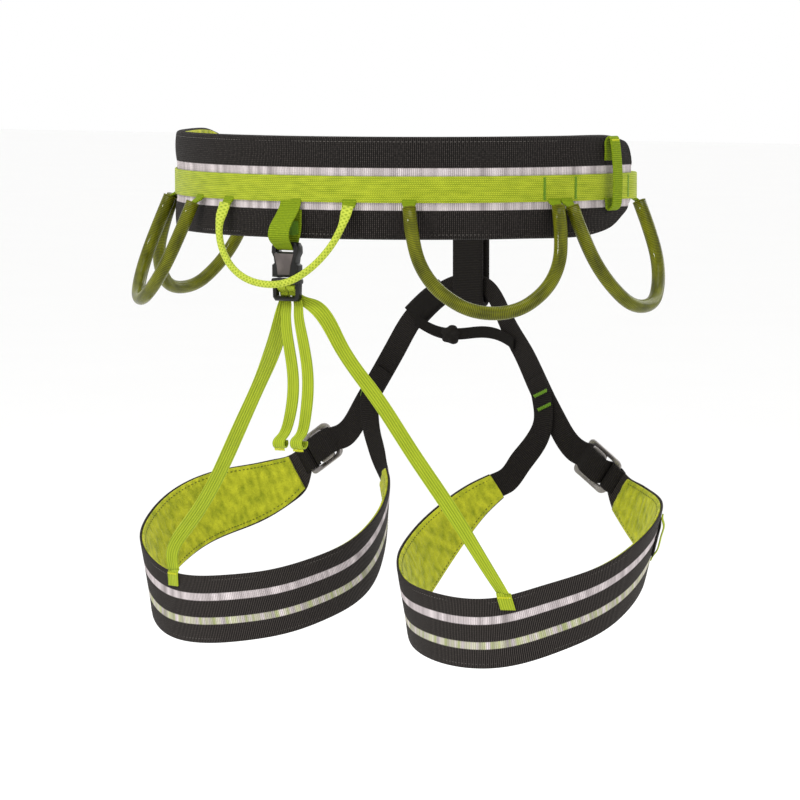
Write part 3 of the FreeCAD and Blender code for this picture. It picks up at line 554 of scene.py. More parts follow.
def zigzag(name, centre, along, across, length, width, turns, material, body, radius=0.42):
    """A bartack: a dense zigzag of thread laid flat on the webbing."""
    bm = bmesh.new()
    along, across = Vector(along).normalized(), Vector(across).normalized()
    points = []
    for k in range(turns + 1):
        share = k / turns - 0.5
        points.append(Vector(centre) + along * (length * share) + across * (width / 2 * (-1) ** k))
    for start, end in zip(points, points[1:]):
        add_stitch(bm, start, end, radius)
    return finished(name, bm, material, body)


def plate(name, loops, thickness, bevel, matrix, material, bend=None, **riding):
    """A flat moulded or pressed piece with rounded edges, from an outline and the holes in it."""
    curve = bpy.data.curves.new(name + "_outline", "CURVE")
    curve.dimensions = "2D"
    curve.fill_mode = "BOTH"
    curve.extrude = thickness / 2 - bevel
    curve.bevel_depth, curve.bevel_resolution = bevel, 2
    curve.offset = -bevel
    for outline in loops:
        line = curve.splines.new("POLY")
        line.points.add(len(outline) - 1)
        for spot, (x, y) in zip(line.points, outline):
            spot.co = (x, y, 0, 1)
        line.use_cyclic_u = True
    maker = bpy.data.objects.new(name + "_maker", curve)
    bpy.context.scene.collection.objects.link(maker)
    bpy.context.view_layer.update()
    mesh = bpy.data.meshes.new_from_object(maker)
    bpy.data.objects.remove(maker)
    bm = bmesh.new()
    bm.from_mesh(mesh)
    bpy.data.meshes.remove(mesh)
    bmesh.ops.remove_doubles(bm, verts=bm.verts, dist=0.001)
    if bend:
        long_edges = [e for e in bm.edges if e.calc_length() > 3]
        bmesh.ops.subdivide_edges(bm, edges=long_edges, cuts=4)
        bmesh.ops.triangulate(bm, faces=[f for f in bm.faces if len(f.verts) > 4])
        for vert in bm.verts:
            vert.co.z += bend(vert.co.x, vert.co.y)
    bmesh.ops.transform(bm, matrix=matrix, verts=bm.verts)
    piece = finished(name, bm, material, **riding)
    piece.data.set_sharp_from_angle(angle=math.radians(40))
    return piece


def round_box(half_x, half_y, radius, centre=(0, 0), parts=5):
    """Corner-rounded rectangle as a list of points."""
    points = []
    for sx, sy, first in ((1, 1, 0), (-1, 1, 90), (-1, -1, 180), (1, -1, 270)):
        for k in range(parts + 1):
            a = math.radians(first + 90 * k / parts)
            points.append((centre[0] + sx * (half_x - radius) + radius * math.cos(a),
                           centre[1] + sy * (half_y - radius) + radius * math.sin(a)))
    return points


def local_matrix(origin, along, outward):
    """X runs along a strap, Z points out of its face."""
    x = Vector(along).normalized()
    y = Vector(outward).cross(x).normalized()
    z = x.cross(y)
    return Matrix.Translation(Vector(origin)) @ Matrix((x, y, z)).transposed().to_4x4()


# ---- waist belt ----

BELT_HALF, BELT_CENTRE, BELT_BACK, BELT_FRONT = 163, 19, 160, 56
BELT_TOP, BELT_BOTTOM = 33.5, -32


def belt_normal(angle):
    turn = math.radians(angle)
    depth = BELT_BACK if math.cos(turn) > 0 else BELT_FRONT
    return Vector((math.sin(turn) / BELT_HALF, -math.cos(turn) / depth, 0)).normalized()


def belt_point(angle, offset=0.0, height=0.0):
    turn = math.radians(angle)
    depth = BELT_BACK if math.cos(turn) > 0 else BELT_FRONT
    centre = Vector((BELT_HALF * math.sin(turn), BELT_CENTRE - depth * math.cos(turn), height))
    return centre + belt_normal(angle) * offset


def belt_tangent(angle):
    return UP.cross(belt_normal(angle))


def belt_rows(shrink):
    end_shape = [(91, 0.32, 0.5), (89, 0.46, 0.76), (86.5, 0.6, 0.9), (83, 0.79, 0.97), (78, 0.93, 1.0)]
    outline = [(-angle, low, high) for angle, low, high in end_shape]
    outline += [(angle, 1.0, 1.0) for angle in range(-70, 71, 10)]
    outline += list(reversed(end_shape))
    rows = []
    for angle, low, high in outline:
        lowest, highest = BELT_BOTTOM * low + shrink, BELT_TOP * high - shrink
        middle = (lowest + highest) / 2
        rows.append((belt_point(angle * (1 - shrink / 200), 0, middle), UP, highest - lowest))
    return rows


def belt_profile(thickness, steps=40):
    """The outer fabric wraps the padding and turns in at both edges."""
    edge = thickness / 2
    ring = [(-1 + 2 * k / steps, -edge * (-1 + 2 * k / steps), 0.0) for k in range(steps + 1)]
    arc = [math.radians(a) for a in (70, 45, 20, -5, -30, -55, -80)]
    ring += [(1, -edge + edge * math.cos(a), -edge + edge * math.sin(a)) for a in arc]
    ring += [(1 - 2 * k / steps, -edge * (1 - 2 * k / steps), -thickness) for k in range(steps + 1)]
    ring += [(-1, edge - edge * math.cos(a), -edge + edge * math.sin(a)) for a in reversed(arc)]
    return ring


def puff(along, height, offset, share):
    """The padding swells between the webbing and each edge, and puckers a little along the belt."""
    if offset < -1:
        return 0.0
    swell = 0.0
    for low, high in ((12.5, 34), (-33, -12.5)):
        if low < height < high:
            swell = 1.25 * math.sin(math.pi * (height - low) / (high - low)) ** 0.6
    ripple = noise.noise(Vector((along * 0.035, height * 0.05, 0.0))) * 0.55
    pucker = math.sin(along * 0.9) * 0.10 if 8 < abs(height) < 14 else 0.0
    return swell + ripple * min(1.0, swell) + pucker


LINING_BACK = -1.6


def dented(bulge, dent):
    """Quilting for a lining: swells inwards, with soft dents, and is pulled flat at its edges."""
    def lift(along, across, offset, share):
        if offset > LINING_BACK:
            return 0.0
        edge = max(0.0, 1 - abs(share) ** 6)
        wobble = noise.noise(Vector((along * 0.19, across * 0.24, 0.0)))
        fine = noise.noise(Vector((along * 0.42, across * 0.42, 7.0)))
        return -(bulge + dent * (0.7 * wobble + 0.5 * fine)) * edge
    return lift


def stitch_rows(name, row_at, angles, offsets, material, body, length=1.7, radius=0.3):
    """Rows of stitches along a band; row_at(angle, share) gives the point on its surface."""
    bm = bmesh.new()
    for offset in offsets:
        points = [row_at(angle, offset) for angle in angles]
        for start, end in zip(points, points[1:]):
            middle, run = (start + end) / 2, (end - start)
            if run.length < 1e-6:
                continue
            half = run.normalized() * (length / 2)
            add_stitch(bm, middle - half, middle + half, radius)
    return finished(name, bm, material, body)


def steps_between(first, last, count):
    return [first + (last - first) * k / count for k in range(count + 1)]


def make_belt():
    strip("belt_shell", belt_rows(0), belt_profile(4.0), BELT_FABRIC, "root", ("belt_band", "belt_foam"),
          "black_band", step=1.3, lift=puff, level=True)
    liner = strip("belt_lining", belt_rows(1.2), band_profile(-5.6, -4.05, 26), LINER, "root",
                  ("belt_liner",), "liner_mesh", step=1.6, lift=dented(0.5, 0.45), level=True)

    def outside(angle, height):
        return belt_point(angle, 0.75, height)

    def inside(angle, height):
        return belt_point(angle, -5.75, height)
    stitch_rows("belt_edge_stitches", outside, steps_between(-76, 76, 168),
                (BELT_TOP - 3.2, BELT_BOTTOM + 3.2), GREY_THREAD, "root", 1.5, 0.22)
    stitch_rows("belt_lining_stitches", inside, steps_between(-76, 76, 164),
                (BELT_TOP - 4.2, BELT_BOTTOM + 4.2), LINER_THREAD, "root", 1.6, 0.3)
    web = [(belt_point(angle), UP, 17) for angle in range(-126, 208, 6)]
    strip("waist_web", web, band_profile(0.2, 1.7, 14), LIME_WEB, "root", ("waist_webbing",),
          "green_webbing", step=1.6)
    for number, angle in enumerate((61.5, 70.0, 88.0)):
        zigzag(f"web_bartack_{number}", belt_point(angle, 1.8), UP, belt_tangent(angle), 14.5, 2.4, 26,
               GREEN_THREAD, "root", 0.3)


BUCKLE_ANGLE = 221
BELT_MM_PER_DEGREE = 2.24
KEEPER_ANGLE = 200


def make_waist_buckle():
    outward, along = belt_normal(BUCKLE_ANGLE), belt_tangent(BUCKLE_ANGLE)
    holes = [round_box(5.2, 10, 1.2, (shift, 0)) for shift in (-6.8, 6.8)]
    matrix = local_matrix(belt_point(BUCKLE_ANGLE, 3.5), along, outward)
    plate("waist_buckle_plate", [round_box(18, 15, 4)] + holes, 2.4, 0.8, matrix, METAL, body="root",
          nodes=("waist_buckle_frame",), slot_name="buckle_metal")
    matrix = local_matrix(belt_point(BUCKLE_ANGLE, 6.1) - along * 5.5, along, outward)
    plate("waist_buckle_bar", [round_box(7.5, 11, 4)], 2.0, 0.7, matrix, METAL, body="waist_slider",
          nodes=("waist_buckle_slider",), slot_name="buckle_metal")
    sewn_end = [(31, 0.95), (22, 0.95), (14, 0.9), (11, 2.6), (11, 4.6), (13.5, 5.8), (17.5, 5.5),
                (21, 3.8), (25, 2.6), (32, 2.55)]
    strip("waist_web_loop", over_buckle(sewn_end), band_profile(-0.7, 0.7, 14), LIME_WEB, "root",
          slot_name="green_webbing", step=0.8)
    threaded = [(-40, 0.95), (-27, 0.95), (-18, 0.9), (-8, 0.9), (0, 0.95), (3.5, 2.6), (4.1, 5.5),
                (2.6, 7.8), (-4, 8.1), (-12, 8.0), (-16, 6.4), (-20, 5.4), (-23, 3.6), (-27, 2.95)]
    web = strip("waist_web_turn", over_buckle(threaded), band_profile(-0.7, 0.7, 14), LIME_WEB,
                slot_name="green_webbing", step=0.8)
    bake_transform(web)
    tail = [(belt_point(angle), UP, 17) for angle in range(211, 193, -3)]
    tail.reverse()
    strip("waist_web_tail", tail, band_profile(2.25, 3.65, 14), LIME_WEB, "root", ("waist_webbing_tail",),
          "green_webbing", step=1.5)
    section = round_box(2.5, 10.2, 1.6, (2.2, 0), 4)
    ring = [(belt_point(KEEPER_ANGLE, offset, z), belt_tangent(KEEPER_ANGLE), 10) for offset, z in section]
    strip("waist_tail_loop", ring, band_profile(-0.5, 0.5, 8, 4, 0.08), ELASTIC, "root",
          ("waist_tail_keeper",), "black_webbing", step=None, closed=True)


def over_buckle(path):
    """Rows of waist webbing from (distance along the belt past the buckle, offset) pairs."""
    return [(belt_point(BUCKLE_ANGLE + along / BELT_MM_PER_DEGREE, offset), UP, 17)
            for along, offset in path]


def make_front_loops():
    path = [(-38, 76.5), (-30, 77.3), (-22, 80.2), (-13, 83.4), (0, 84.3), (13, 83.4), (22, 80.2),
            (30, 77.3), (38, 76.5)]
    rows = [(Vector((x, y, -6)), UP, 15) for x, y in path]
    strip("tie_in_web", rows, band_profile(-0.9, 0.9, 12), BLACK_WEB, "root", ("tie_in_loop",),
          "black_webbing", step=1.5)
    for number, x in enumerate((-33, 33)):
        zigzag(f"tie_in_bartack_{number}", (x, 78.2, -6), UP, (1, 0, 0), 12, 3, 22, GREEN_THREAD,
               "root", 0.35)
    make_belay_loop()


BELAY_Y, BELAY_TOP, BELAY_BOTTOM, BELAY_RADIUS, BELAY_WIDTH = 84.3, 1.5, -82.9, 4, 24


def make_belay_loop():
    """Two straight runs joined by a half turn at the top and at the bottom."""
    route = []
    for middle, other, first in ((BELAY_TOP, BELAY_BOTTOM, 0), (BELAY_BOTTOM, BELAY_TOP, 180)):
        for angle in range(first, first + 181, 10):
            t = math.radians(angle)
            route.append((BELAY_Y + BELAY_RADIUS * math.cos(t), middle + BELAY_RADIUS * math.sin(t)))
        straight = BELAY_Y + (BELAY_RADIUS if first else -BELAY_RADIUS)
        route += [(straight, middle + (other - middle) * k / 50) for k in range(1, 50)]
    rows = [(Vector((0, y, z)), Vector((1, 0, 0)), BELAY_WIDTH) for y, z in route]
    strip("belay_web", rows, band_profile(-1.7, 1.7, 16), BELAY_WEB, "belay", ("belay_loop",),
          "black_webbing", step=None, closed=True)
    tack_at = (8.0, BELAY_Y - BELAY_RADIUS - 1.8, -37)
    zigzag("belay_bartack", tack_at, UP, (1, 0, 0), 7.5, 7.0, 20, GREEN_THREAD, "belay", 0.5)


# ---- gear loops, haul loop and clip slots ----

GEAR_LOOPS = [("rear_right", 30, 64), ("front_right", 67.4, 114),
              ("rear_left", -64, -28.5), ("front_left", -114, -67.4)]


def hanging_plane(start_angle, end_angle, offset, height, lean):
    first, last = belt_point(start_angle, offset, height), belt_point(end_angle, offset, height)
    along = (last - first).normalized()
    outward = along.cross(UP)
    drop = UP * -math.cos(math.radians(lean)) + outward * math.sin(math.radians(lean))
    return (first + last) / 2, along, drop, (last - first).length / 2


def make_gear_loop(name, first_angle, last_angle):
    centre, along, drop, half = hanging_plane(first_angle, last_angle, 6.2, -9, 23)
    depth, start = 74, 2.8
    outline = [(-half, start), (-half, 21.5), (-half + 3, 42), (-half + 14, 60), (-14, depth),
               (14, depth), (half - 14, 60), (half - 3, 42), (half, 21.5), (half, start)]
    path = rounded_route([centre + along * x + drop * y for x, y in outline], 14)
    sideways = along.cross(drop)
    bm = bmesh.new()
    add_tube(bm, path, lambda share: (4.4, 4.4), 28, up=sideways)
    finished("gear_hose_" + name, bm, TUBE, "gear_" + name, ("gear_tube_" + name,), "tube_clear")
    bm = bmesh.new()
    for sign in (-1, 1):
        place = centre + along * (sign * half)
        cut = [place + drop * d for d in (start + 0.5, start - 0.25)]
        add_tube(bm, cut, lambda share: (4.45, 4.45), 28, up=sideways)
    finished("gear_hose_ends_" + name, bm, TUBE, "gear_" + name, ("gear_core_" + name,), "tube_core")
    bm = bmesh.new()
    for sign, angle in ((-1, first_angle), (1, last_angle)):
        tangent = belt_tangent(angle)
        mouth = centre + along * (sign * half) + drop * (start + 1.5)
        rows = [(belt_point(angle, 0.95, -6.5), tangent, 9.4), (belt_point(angle, 2.3, -8.6), tangent, 9.2),
                (belt_point(angle, 4.6, -10.2), tangent, 7.8), (mouth, tangent, 6.6)]
        add_strip(bm, sampled(rows, 0.7), band_profile(-0.85, 0.85, 10))
    tabs = finished("gear_web_ends_" + name, bm, LIME_TAPE, None, ("gear_tabs_" + name,), "green_webbing")
    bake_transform(tabs)


HAUL_ANGLE = 16.5


def make_haul_loop():
    centre, along, drop, half = hanging_plane(-HAUL_ANGLE, HAUL_ANGLE, 4.8, -10.5, 20)
    depth = 54
    outline = [(-half, 0), (-half - 2, 14), (-half + 3, 29.5), (-half + 16, 45), (-13, depth - 0.5),
               (10, depth), (half - 20, 44), (half - 7, 28.5), (half - 1, 13), (half, 0)]
    path = rounded_route([centre + along * x + drop * y for x, y in outline], 10)

    def radii(share):
        near = min(share, 1 - share)
        flat = max(0.0, 1 - near / 0.11)
        return 2.3 - 1.2 * flat, 2.3 + 2.2 * flat ** 1.5
    bm = bmesh.new()
    add_tube(bm, path, radii, 24, up=along.cross(drop))
    finished("haul_cord", bm, CORD, "haul", ("haul_loop",), "lime_cord")
    bm = bmesh.new()
    for angle in (-HAUL_ANGLE, HAUL_ANGLE):
        tangent = belt_tangent(angle)
        rows = [(belt_point(angle, 0.95, -6.5), tangent, 9.6), (belt_point(angle, 2.2, -8.8), tangent, 9.4),
                (belt_point(angle, 4.4, -11.5), tangent, 8.6)]
        add_strip(bm, sampled(rows, 0.8), band_profile(-0.8, 0.8, 10))
    finished("haul_web_ends", bm, LIME_TAPE, "root", ("haul_loop_tabs",), "green_webbing")


def make_clip_slot(name, angle):
    path = [(1.9, 17), (2.2, 25), (3.0, 30.6), (5.2, 32.2), (7.2, 28), (8.8, 16), (9.5, 3), (9.0, -7),
            (6.9, -13.6), (4.0, -14.6), (2.8, -11), (2.6, -7)]
    rows = [(belt_point(angle, offset, z), belt_tangent(angle), 9) for offset, z in path]
    strip("clip_slot_web_" + name, rows, band_profile(-0.65, 0.65, 10), LIME_TAPE, "root",
          ("clip_slot_" + name,), "green_webbing", step=0.8)
    zigzag("clip_slot_bartack_" + name, belt_point(angle, 7.3, 30), belt_tangent(angle), UP, 7, 2, 14,
           YELLOW_THREAD, "root", 0.3)


# ---- rear buckle and elastic risers ----

BUCKLE_X, BUCKLE_Y = 6, -146.5
SOCKET_TOP, SOCKET_BOTTOM = -34, -57
BAR_Z = -35.55


def make_riser_anchor():
    """A loop of webbing that bulges out, passes round the buckle's bar and goes back up behind itself."""
    path = [(-141.9, -6.5, 16), (-142.6, -9.5, 16), (-145, -13.6, 16), (-150, -19, 16), (-155.3, -25, 16),
            (-156.3, -30.7, 16), (-152, -36, 14), (BUCKLE_Y - 2.2, BAR_Z - 2.9, 12.6),
            (BUCKLE_Y + 2.0, BAR_Z - 2.65, 12.6), (BUCKLE_Y + 3.2, BAR_Z + 0.4, 13), (-143.2, -31, 15),
            (-142.4, -26, 16), (-142.0, -20, 16), (-141.9, -13.5, 16)]
    rows = [(Vector((BUCKLE_X, y, z)), Vector((1, 0, 0)), width) for y, z, width in path]
    anchor = strip("rear_web", rows, band_profile(-0.6, 0.6, 14), LIME_TAPE, None, ("riser_anchor",),
                   "green_webbing", step=0.7)
    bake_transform(anchor)
    tack = zigzag("rear_web_bartack", (BUCKLE_X + 2.6, -143.7, -25.5), (0, -0.1, 1), (1, 0, 0), 9, 8.5, 26,
                  GREEN_THREAD, None, 0.5)
    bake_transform(tack)


def buckle_matrix(y, z):
    """Outlines are drawn in the wearer's X and Z, seen from behind."""
    return Matrix.Translation((BUCKLE_X, y, z)) @ Matrix(((1, 0, 0), (0, 0, -1), (0, 1, 0))).to_4x4()


def make_rear_buckle():
    height = SOCKET_TOP - SOCKET_BOTTOM
    shape = [(-10, height - 3), (-8.5, height - 0.6), (-6, height), (6, height), (8.5, height - 0.6),
             (10, height - 3), (10.2, height - 7), (8.6, height - 10), (8.0, 9.4), (9.8, 8.2), (9.8, 0.3),
             (-9.8, 0.3), (-9.8, 8.2), (-8.0, 9.4), (-8.6, height - 10), (-10.2, height - 7)]
    slot_hole = round_box(6.6, 1.7, 1.4, (0, height - 4.8), 4)
    plate("socket_shell", [shape, slot_hole], 7.8, 1.5, buckle_matrix(BUCKLE_Y, SOCKET_BOTTOM), PLASTIC,
          body="rear_socket", nodes=("rear_buckle_socket",), slot_name="buckle_plastic")
    face = [(-7.4, height - 7.4), (7.4, height - 7.4), (5.4, 8), (4.6, 2.0), (-4.6, 2.0), (-5.4, 8)]
    plate("socket_panel", [face], 1.6, 0.5, buckle_matrix(BUCKLE_Y - 3.75, SOCKET_BOTTOM), PANEL,
          body="rear_socket", slot_name="buckle_plastic")
    plug_top = SOCKET_BOTTOM - 0.3
    frame_shape = [(-10, -0.2), (10, -0.2), (10.3, -4), (10, -12.4), (8.2, -14.7), (-8.2, -14.7),
                   (-10, -12.4), (-10.3, -4)]
    hole = round_box(7.3, 4.0, 1.2, (0, -7.7), 4)
    plate("plug_frame", [frame_shape, hole], 5.2, 1.3, buckle_matrix(BUCKLE_Y, plug_top), PLASTIC,
          body="root", nodes=("rear_buckle_plug",), slot_name="buckle_plastic")
    collar = round_box(10.2, 1.9, 1.3, (0, -1.95), 4)
    plate("plug_collar", [collar], 8.2, 1.2, buckle_matrix(BUCKLE_Y, plug_top), PLASTIC, body="root",
          slot_name="buckle_plastic")
    for side, name in ((1, "right"), (-1, "left")):
        arm = [(4.2, 0), (6.6, 0), (9.4, 1.4), (9.6, 4.2), (8.8, 7.0), (6.6, 8.2), (6.4, 11), (4.6, 11)]
        outline = [(x * side, y) for x, y in arm]
        plate("prong_" + name, [outline], 3.8, 0.5, buckle_matrix(BUCKLE_Y, SOCKET_BOTTOM), PLASTIC,
              body="prong_" + name, nodes=("rear_prong_" + name,), slot_name="buckle_plastic")
    for side, name in ((1, "right"), (-1, "left")):
        x = BUCKLE_X + side * 3.55
        wrap = [(1.9, -68.6), (1.2, -66), (-1.6, -63.6), (-1.5, -61.8), (0.2, -61.6), (1.4, -63), (2.2, -66)]
        rows = [(Vector((x, BUCKLE_Y + y, z)), Vector((1, 0, 0)), 6.5) for y, z in wrap]
        strip("riser_wrap_" + name, rows, band_profile(-0.55, 0.55, 12, 3, 0.1), ELASTIC, "root",
              slot_name="lime_elastic", step=0.7)


HEM_ANGLE = {1: 25, -1: 14}
HEM_RISE = 24.2
RISER_FACING = Vector((0.54, -0.84, 0))
HEM_CURL = 2.9
TAIL_DRIFT = {1: (2.4, 3.4, 5.4, 8.8, 12.5, 10, 6.5), -1: (1.2, 1.7, 2.8, 4.7, 8, 5, 0.5)}
TAIL_PATH = [(-71.2, 2.8, 6.2), (-74, 2.2, 6.6), (-80, -0.3, 7.2), (-91, -2.4, 8), (-118, -0.6, 8.5),
             (-146, 0.4, 8.5), (-158, -0.2, 8.5)]
RISER_ROUTE = {1: [(21.5, -141.3, -74), (38, -133.5, -100), (58, -123.5, -132), (78, -113, -166.5),
                   (101, -102, -204), (122.5, -92.5, -241)],
               -1: [(0.5, -142.2, -77), (-25.5, -128.5, -122), (-50.5, -118.5, -157), (-74, -109.5, -190),
                    (-95, -103, -216), (-113, -98.5, -234.5), (-122.5, -96, -249)]}
SIDES = ((1, "right"), (-1, "left"))


def riser_rows(side):
    end, across, _ = leg_row(HEM_ANGLE[side])
    target = end + across.normalized() * HEM_RISE
    foot = Vector((target.x * side, target.y - 0.6, target.z))
    route = [Vector(point) for point in RISER_ROUTE[side]]
    flat = RISER_FACING.cross((route[2] - route[0]).normalized())
    rows = [(Vector((BUCKLE_X + side * 3.5, BUCKLE_Y + 1.8, -63.5)), Vector((1, 0, 0)), 6.6),
            (Vector((BUCKLE_X + side * 4.0, BUCKLE_Y + 3.9, -67.6)), Vector((1, 0, side * 0.2)), 7.0)]
    rows += [(point, flat, 9.5) for point in route[:-1]]
    rows.append((route[-1], flat + Vector((1, 0, 0)), 8.5))
    rows.append((foot, Vector((1, 0, 0)), 9.5))
    return rows


def make_risers():
    cords = band_profile(-0.6, 0.6, 36, 6, 0.13)
    for side, name in SIDES:
        rows = riser_rows(side)
        riser = strip("riser_" + name, rows, cords, ELASTIC, None, ("elastic_riser_" + name,),
                      "lime_elastic", step=1.5)
        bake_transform(riser)
        start_x = BUCKLE_X + side * 3.5
        rows = [(Vector((start_x + drift, BUCKLE_Y + depth, z)), Vector((1, 0.06, 0.02)), width)
                for drift, (z, depth, width) in zip(TAIL_DRIFT[side], TAIL_PATH)]
        last = rows[-1][0]
        for a in range(-60, 211, 30):
            t = math.radians(a)
            curl = Vector((side * 0.4 * (a + 60) / 90, -2.6 - HEM_CURL * math.cos(t),
                           -5.0 - HEM_CURL * math.sin(t)))
            rows.append((last + curl, Vector((1, 0.06, 0.02)), 8.9))
        strip("riser_end_" + name, rows, cords, ELASTIC, "tail_" + name, ("riser_tail_" + name,),
              "lime_elastic", step=1.0)
        hem = rows[-5][0] + Vector((0, -0.95, -1.2))
        zigzag("riser_end_stitch_" + name, hem, Vector((1, 0.06, 0)), UP, 7.4, 2.2, 15, YELLOW_THREAD,
               "tail_" + name, 0.32)


# ---- leg loops ----

LEG_CENTRE, LEG_HALF, LEG_FRONT, LEG_BACK = (104, -9), 83, 79, 84
LEG_SHAPE = [(-134, -206, 3, 19), (-125, -214, 4, 24), (-112, -228, 5, 32), (-98, -243, 7, 40),
             (-82, -258, 9, 46), (-60, -270, 10, 46), (-40, -278, 9, 46), (-20, -282.5, 7, 46),
             (0, -285, 5, 46), (20, -283, 5, 46), (42, -274, 8, 46), (65, -263.5, 13, 46),
             (86, -250, 15, 46), (106, -237, 15, 46), (126, -228, 13, 45), (144, -221, 9, 39),
             (154, -214.5, 7, 33), (161, -208.5, 5.5, 27)]


def leg_point(angle, height):
    turn = math.radians(angle)
    depth = LEG_BACK if math.cos(turn) > 0 else LEG_FRONT
    return Vector((LEG_CENTRE[0] + LEG_HALF * math.sin(turn), LEG_CENTRE[1] - depth * math.cos(turn),
                   height))


def leg_row(angle, rise=0.0, width=None):
    """The band's point, its direction across and its width at any angle."""
    last = len(LEG_SHAPE) - 1
    index = next((i for i in range(last) if angle <= LEG_SHAPE[i + 1][0]), last - 1)
    low, high = LEG_SHAPE[index], LEG_SHAPE[index + 1]
    part = (angle - low[0]) / (high[0] - low[0])
    height, lean, full = (low[k] + (high[k] - low[k]) * part for k in (1, 2, 3))
    slope = (high[1] - low[1]) / (high[0] - low[0])
    if 0 < index < last and part < 1e-9:
        slope = (high[1] - LEG_SHAPE[index - 1][1]) / (high[0] - LEG_SHAPE[index - 1][0])
    tangent = leg_point(angle + 1, slope) - leg_point(angle - 1, -slope)
    outward = Vector((tangent.y, -tangent.x, 0)).normalized()
    upward = outward.cross(tangent).normalized()
    if upward.z < 0:
        upward = -upward
    tilt = math.radians(lean)
    across = upward * math.cos(tilt) + outward * math.sin(tilt)
    return leg_point(angle, height) + across * rise, across, full if width is None else width


def mirrored(rows, side):
    """The same rows on the wearer's right (side 1) or left (side -1)."""
    flip = Vector((side, 1, 1))
    return [(Vector(point) * flip, Vector(across) * flip, width) for point, across, width in rows]


PLATE_CENTRE = Vector((112, 67.9, -190.5))
PLATE_ALONG = Vector((0.82, -0.03, -0.57)).normalized()
PLATE_ACROSS = Vector((0.57, 0, 0.82)).normalized()


def by_plate(along, out):
    """A point over the leg buckle: along the strap, and out of the plate's rear face."""
    return PLATE_CENTRE + PLATE_ALONG * along + Vector((0, -out, 0))


def surface_point(side, dense, offset):
    """Reads a point on a dense list of rows, at a distance in from the upper or lower edge."""
    def read(index, inset):
        point, across, width = dense[int(index)]
        normal = (dense[min(int(index) + 1, len(dense) - 1)][0]
                  - dense[max(int(index) - 1, 0)][0]).cross(across).normalized() * side
        x = width / 2 - inset if inset > 0 else -width / 2 - inset
        return point + across.normalized() * x + normal * offset
    return read


def make_leg(side, name):
    body = "leg_" + name
    rows = [leg_row(row[0]) for row in LEG_SHAPE]
    band_rows = mirrored(rows + [(Vector((124.9, 66.9, -199.8)), Vector((0.57, 0.03, 0.82)), 19)], side)
    strip("leg_shell_" + name, band_rows, band_profile(-1.3, 0, 24), LEG_FABRIC, body,
          ("leg_band_" + name,), "black_band", step=1.3, side=side, lift=leg_ripple, inside=-0.75)
    liner_rows = mirrored([(point, across, width - 1.7) for point, across, width in rows], side)
    liner = strip("leg_lining_" + name, liner_rows, band_profile(-2.9, -1.4, 26), LINER, body,
                  ("leg_liner_" + name,), "liner_mesh", step=1.5, side=side, lift=dented(0.9, 0.75))
    dense = sampled(liner_rows, 2.75)
    stitch_rows("leg_lining_stitches_" + name, surface_point(side, dense, -3.35), range(1, len(dense) - 1),
                (2.6, -2.6), LINER_THREAD, body, 1.6, 0.34)
    dense = sampled(band_rows[:-1], 2.4)
    stitch_rows("leg_edge_stitches_" + name, surface_point(side, dense, 0.02), range(1, len(dense) - 1),
                (3.0, -3.0), GREY_THREAD, body, 1.2, 0.2)
    make_leg_straps(side, name, body)
    make_leg_buckle(side, name, body)
    make_leg_keeper(side, name, body)


def leg_ripple(along, across, offset, share):
    """The band's edges draw in slightly at the stitching."""
    if offset < -0.7:
        return 0.0
    return 0.28 * (1 - abs(share) ** 8) + 0.35 * noise.noise(Vector((along * 0.03, across * 0.05, 2.0)))


def blend_at_junction(piece):
    """Bakes the piece's placement into its mesh."""
    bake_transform(piece)


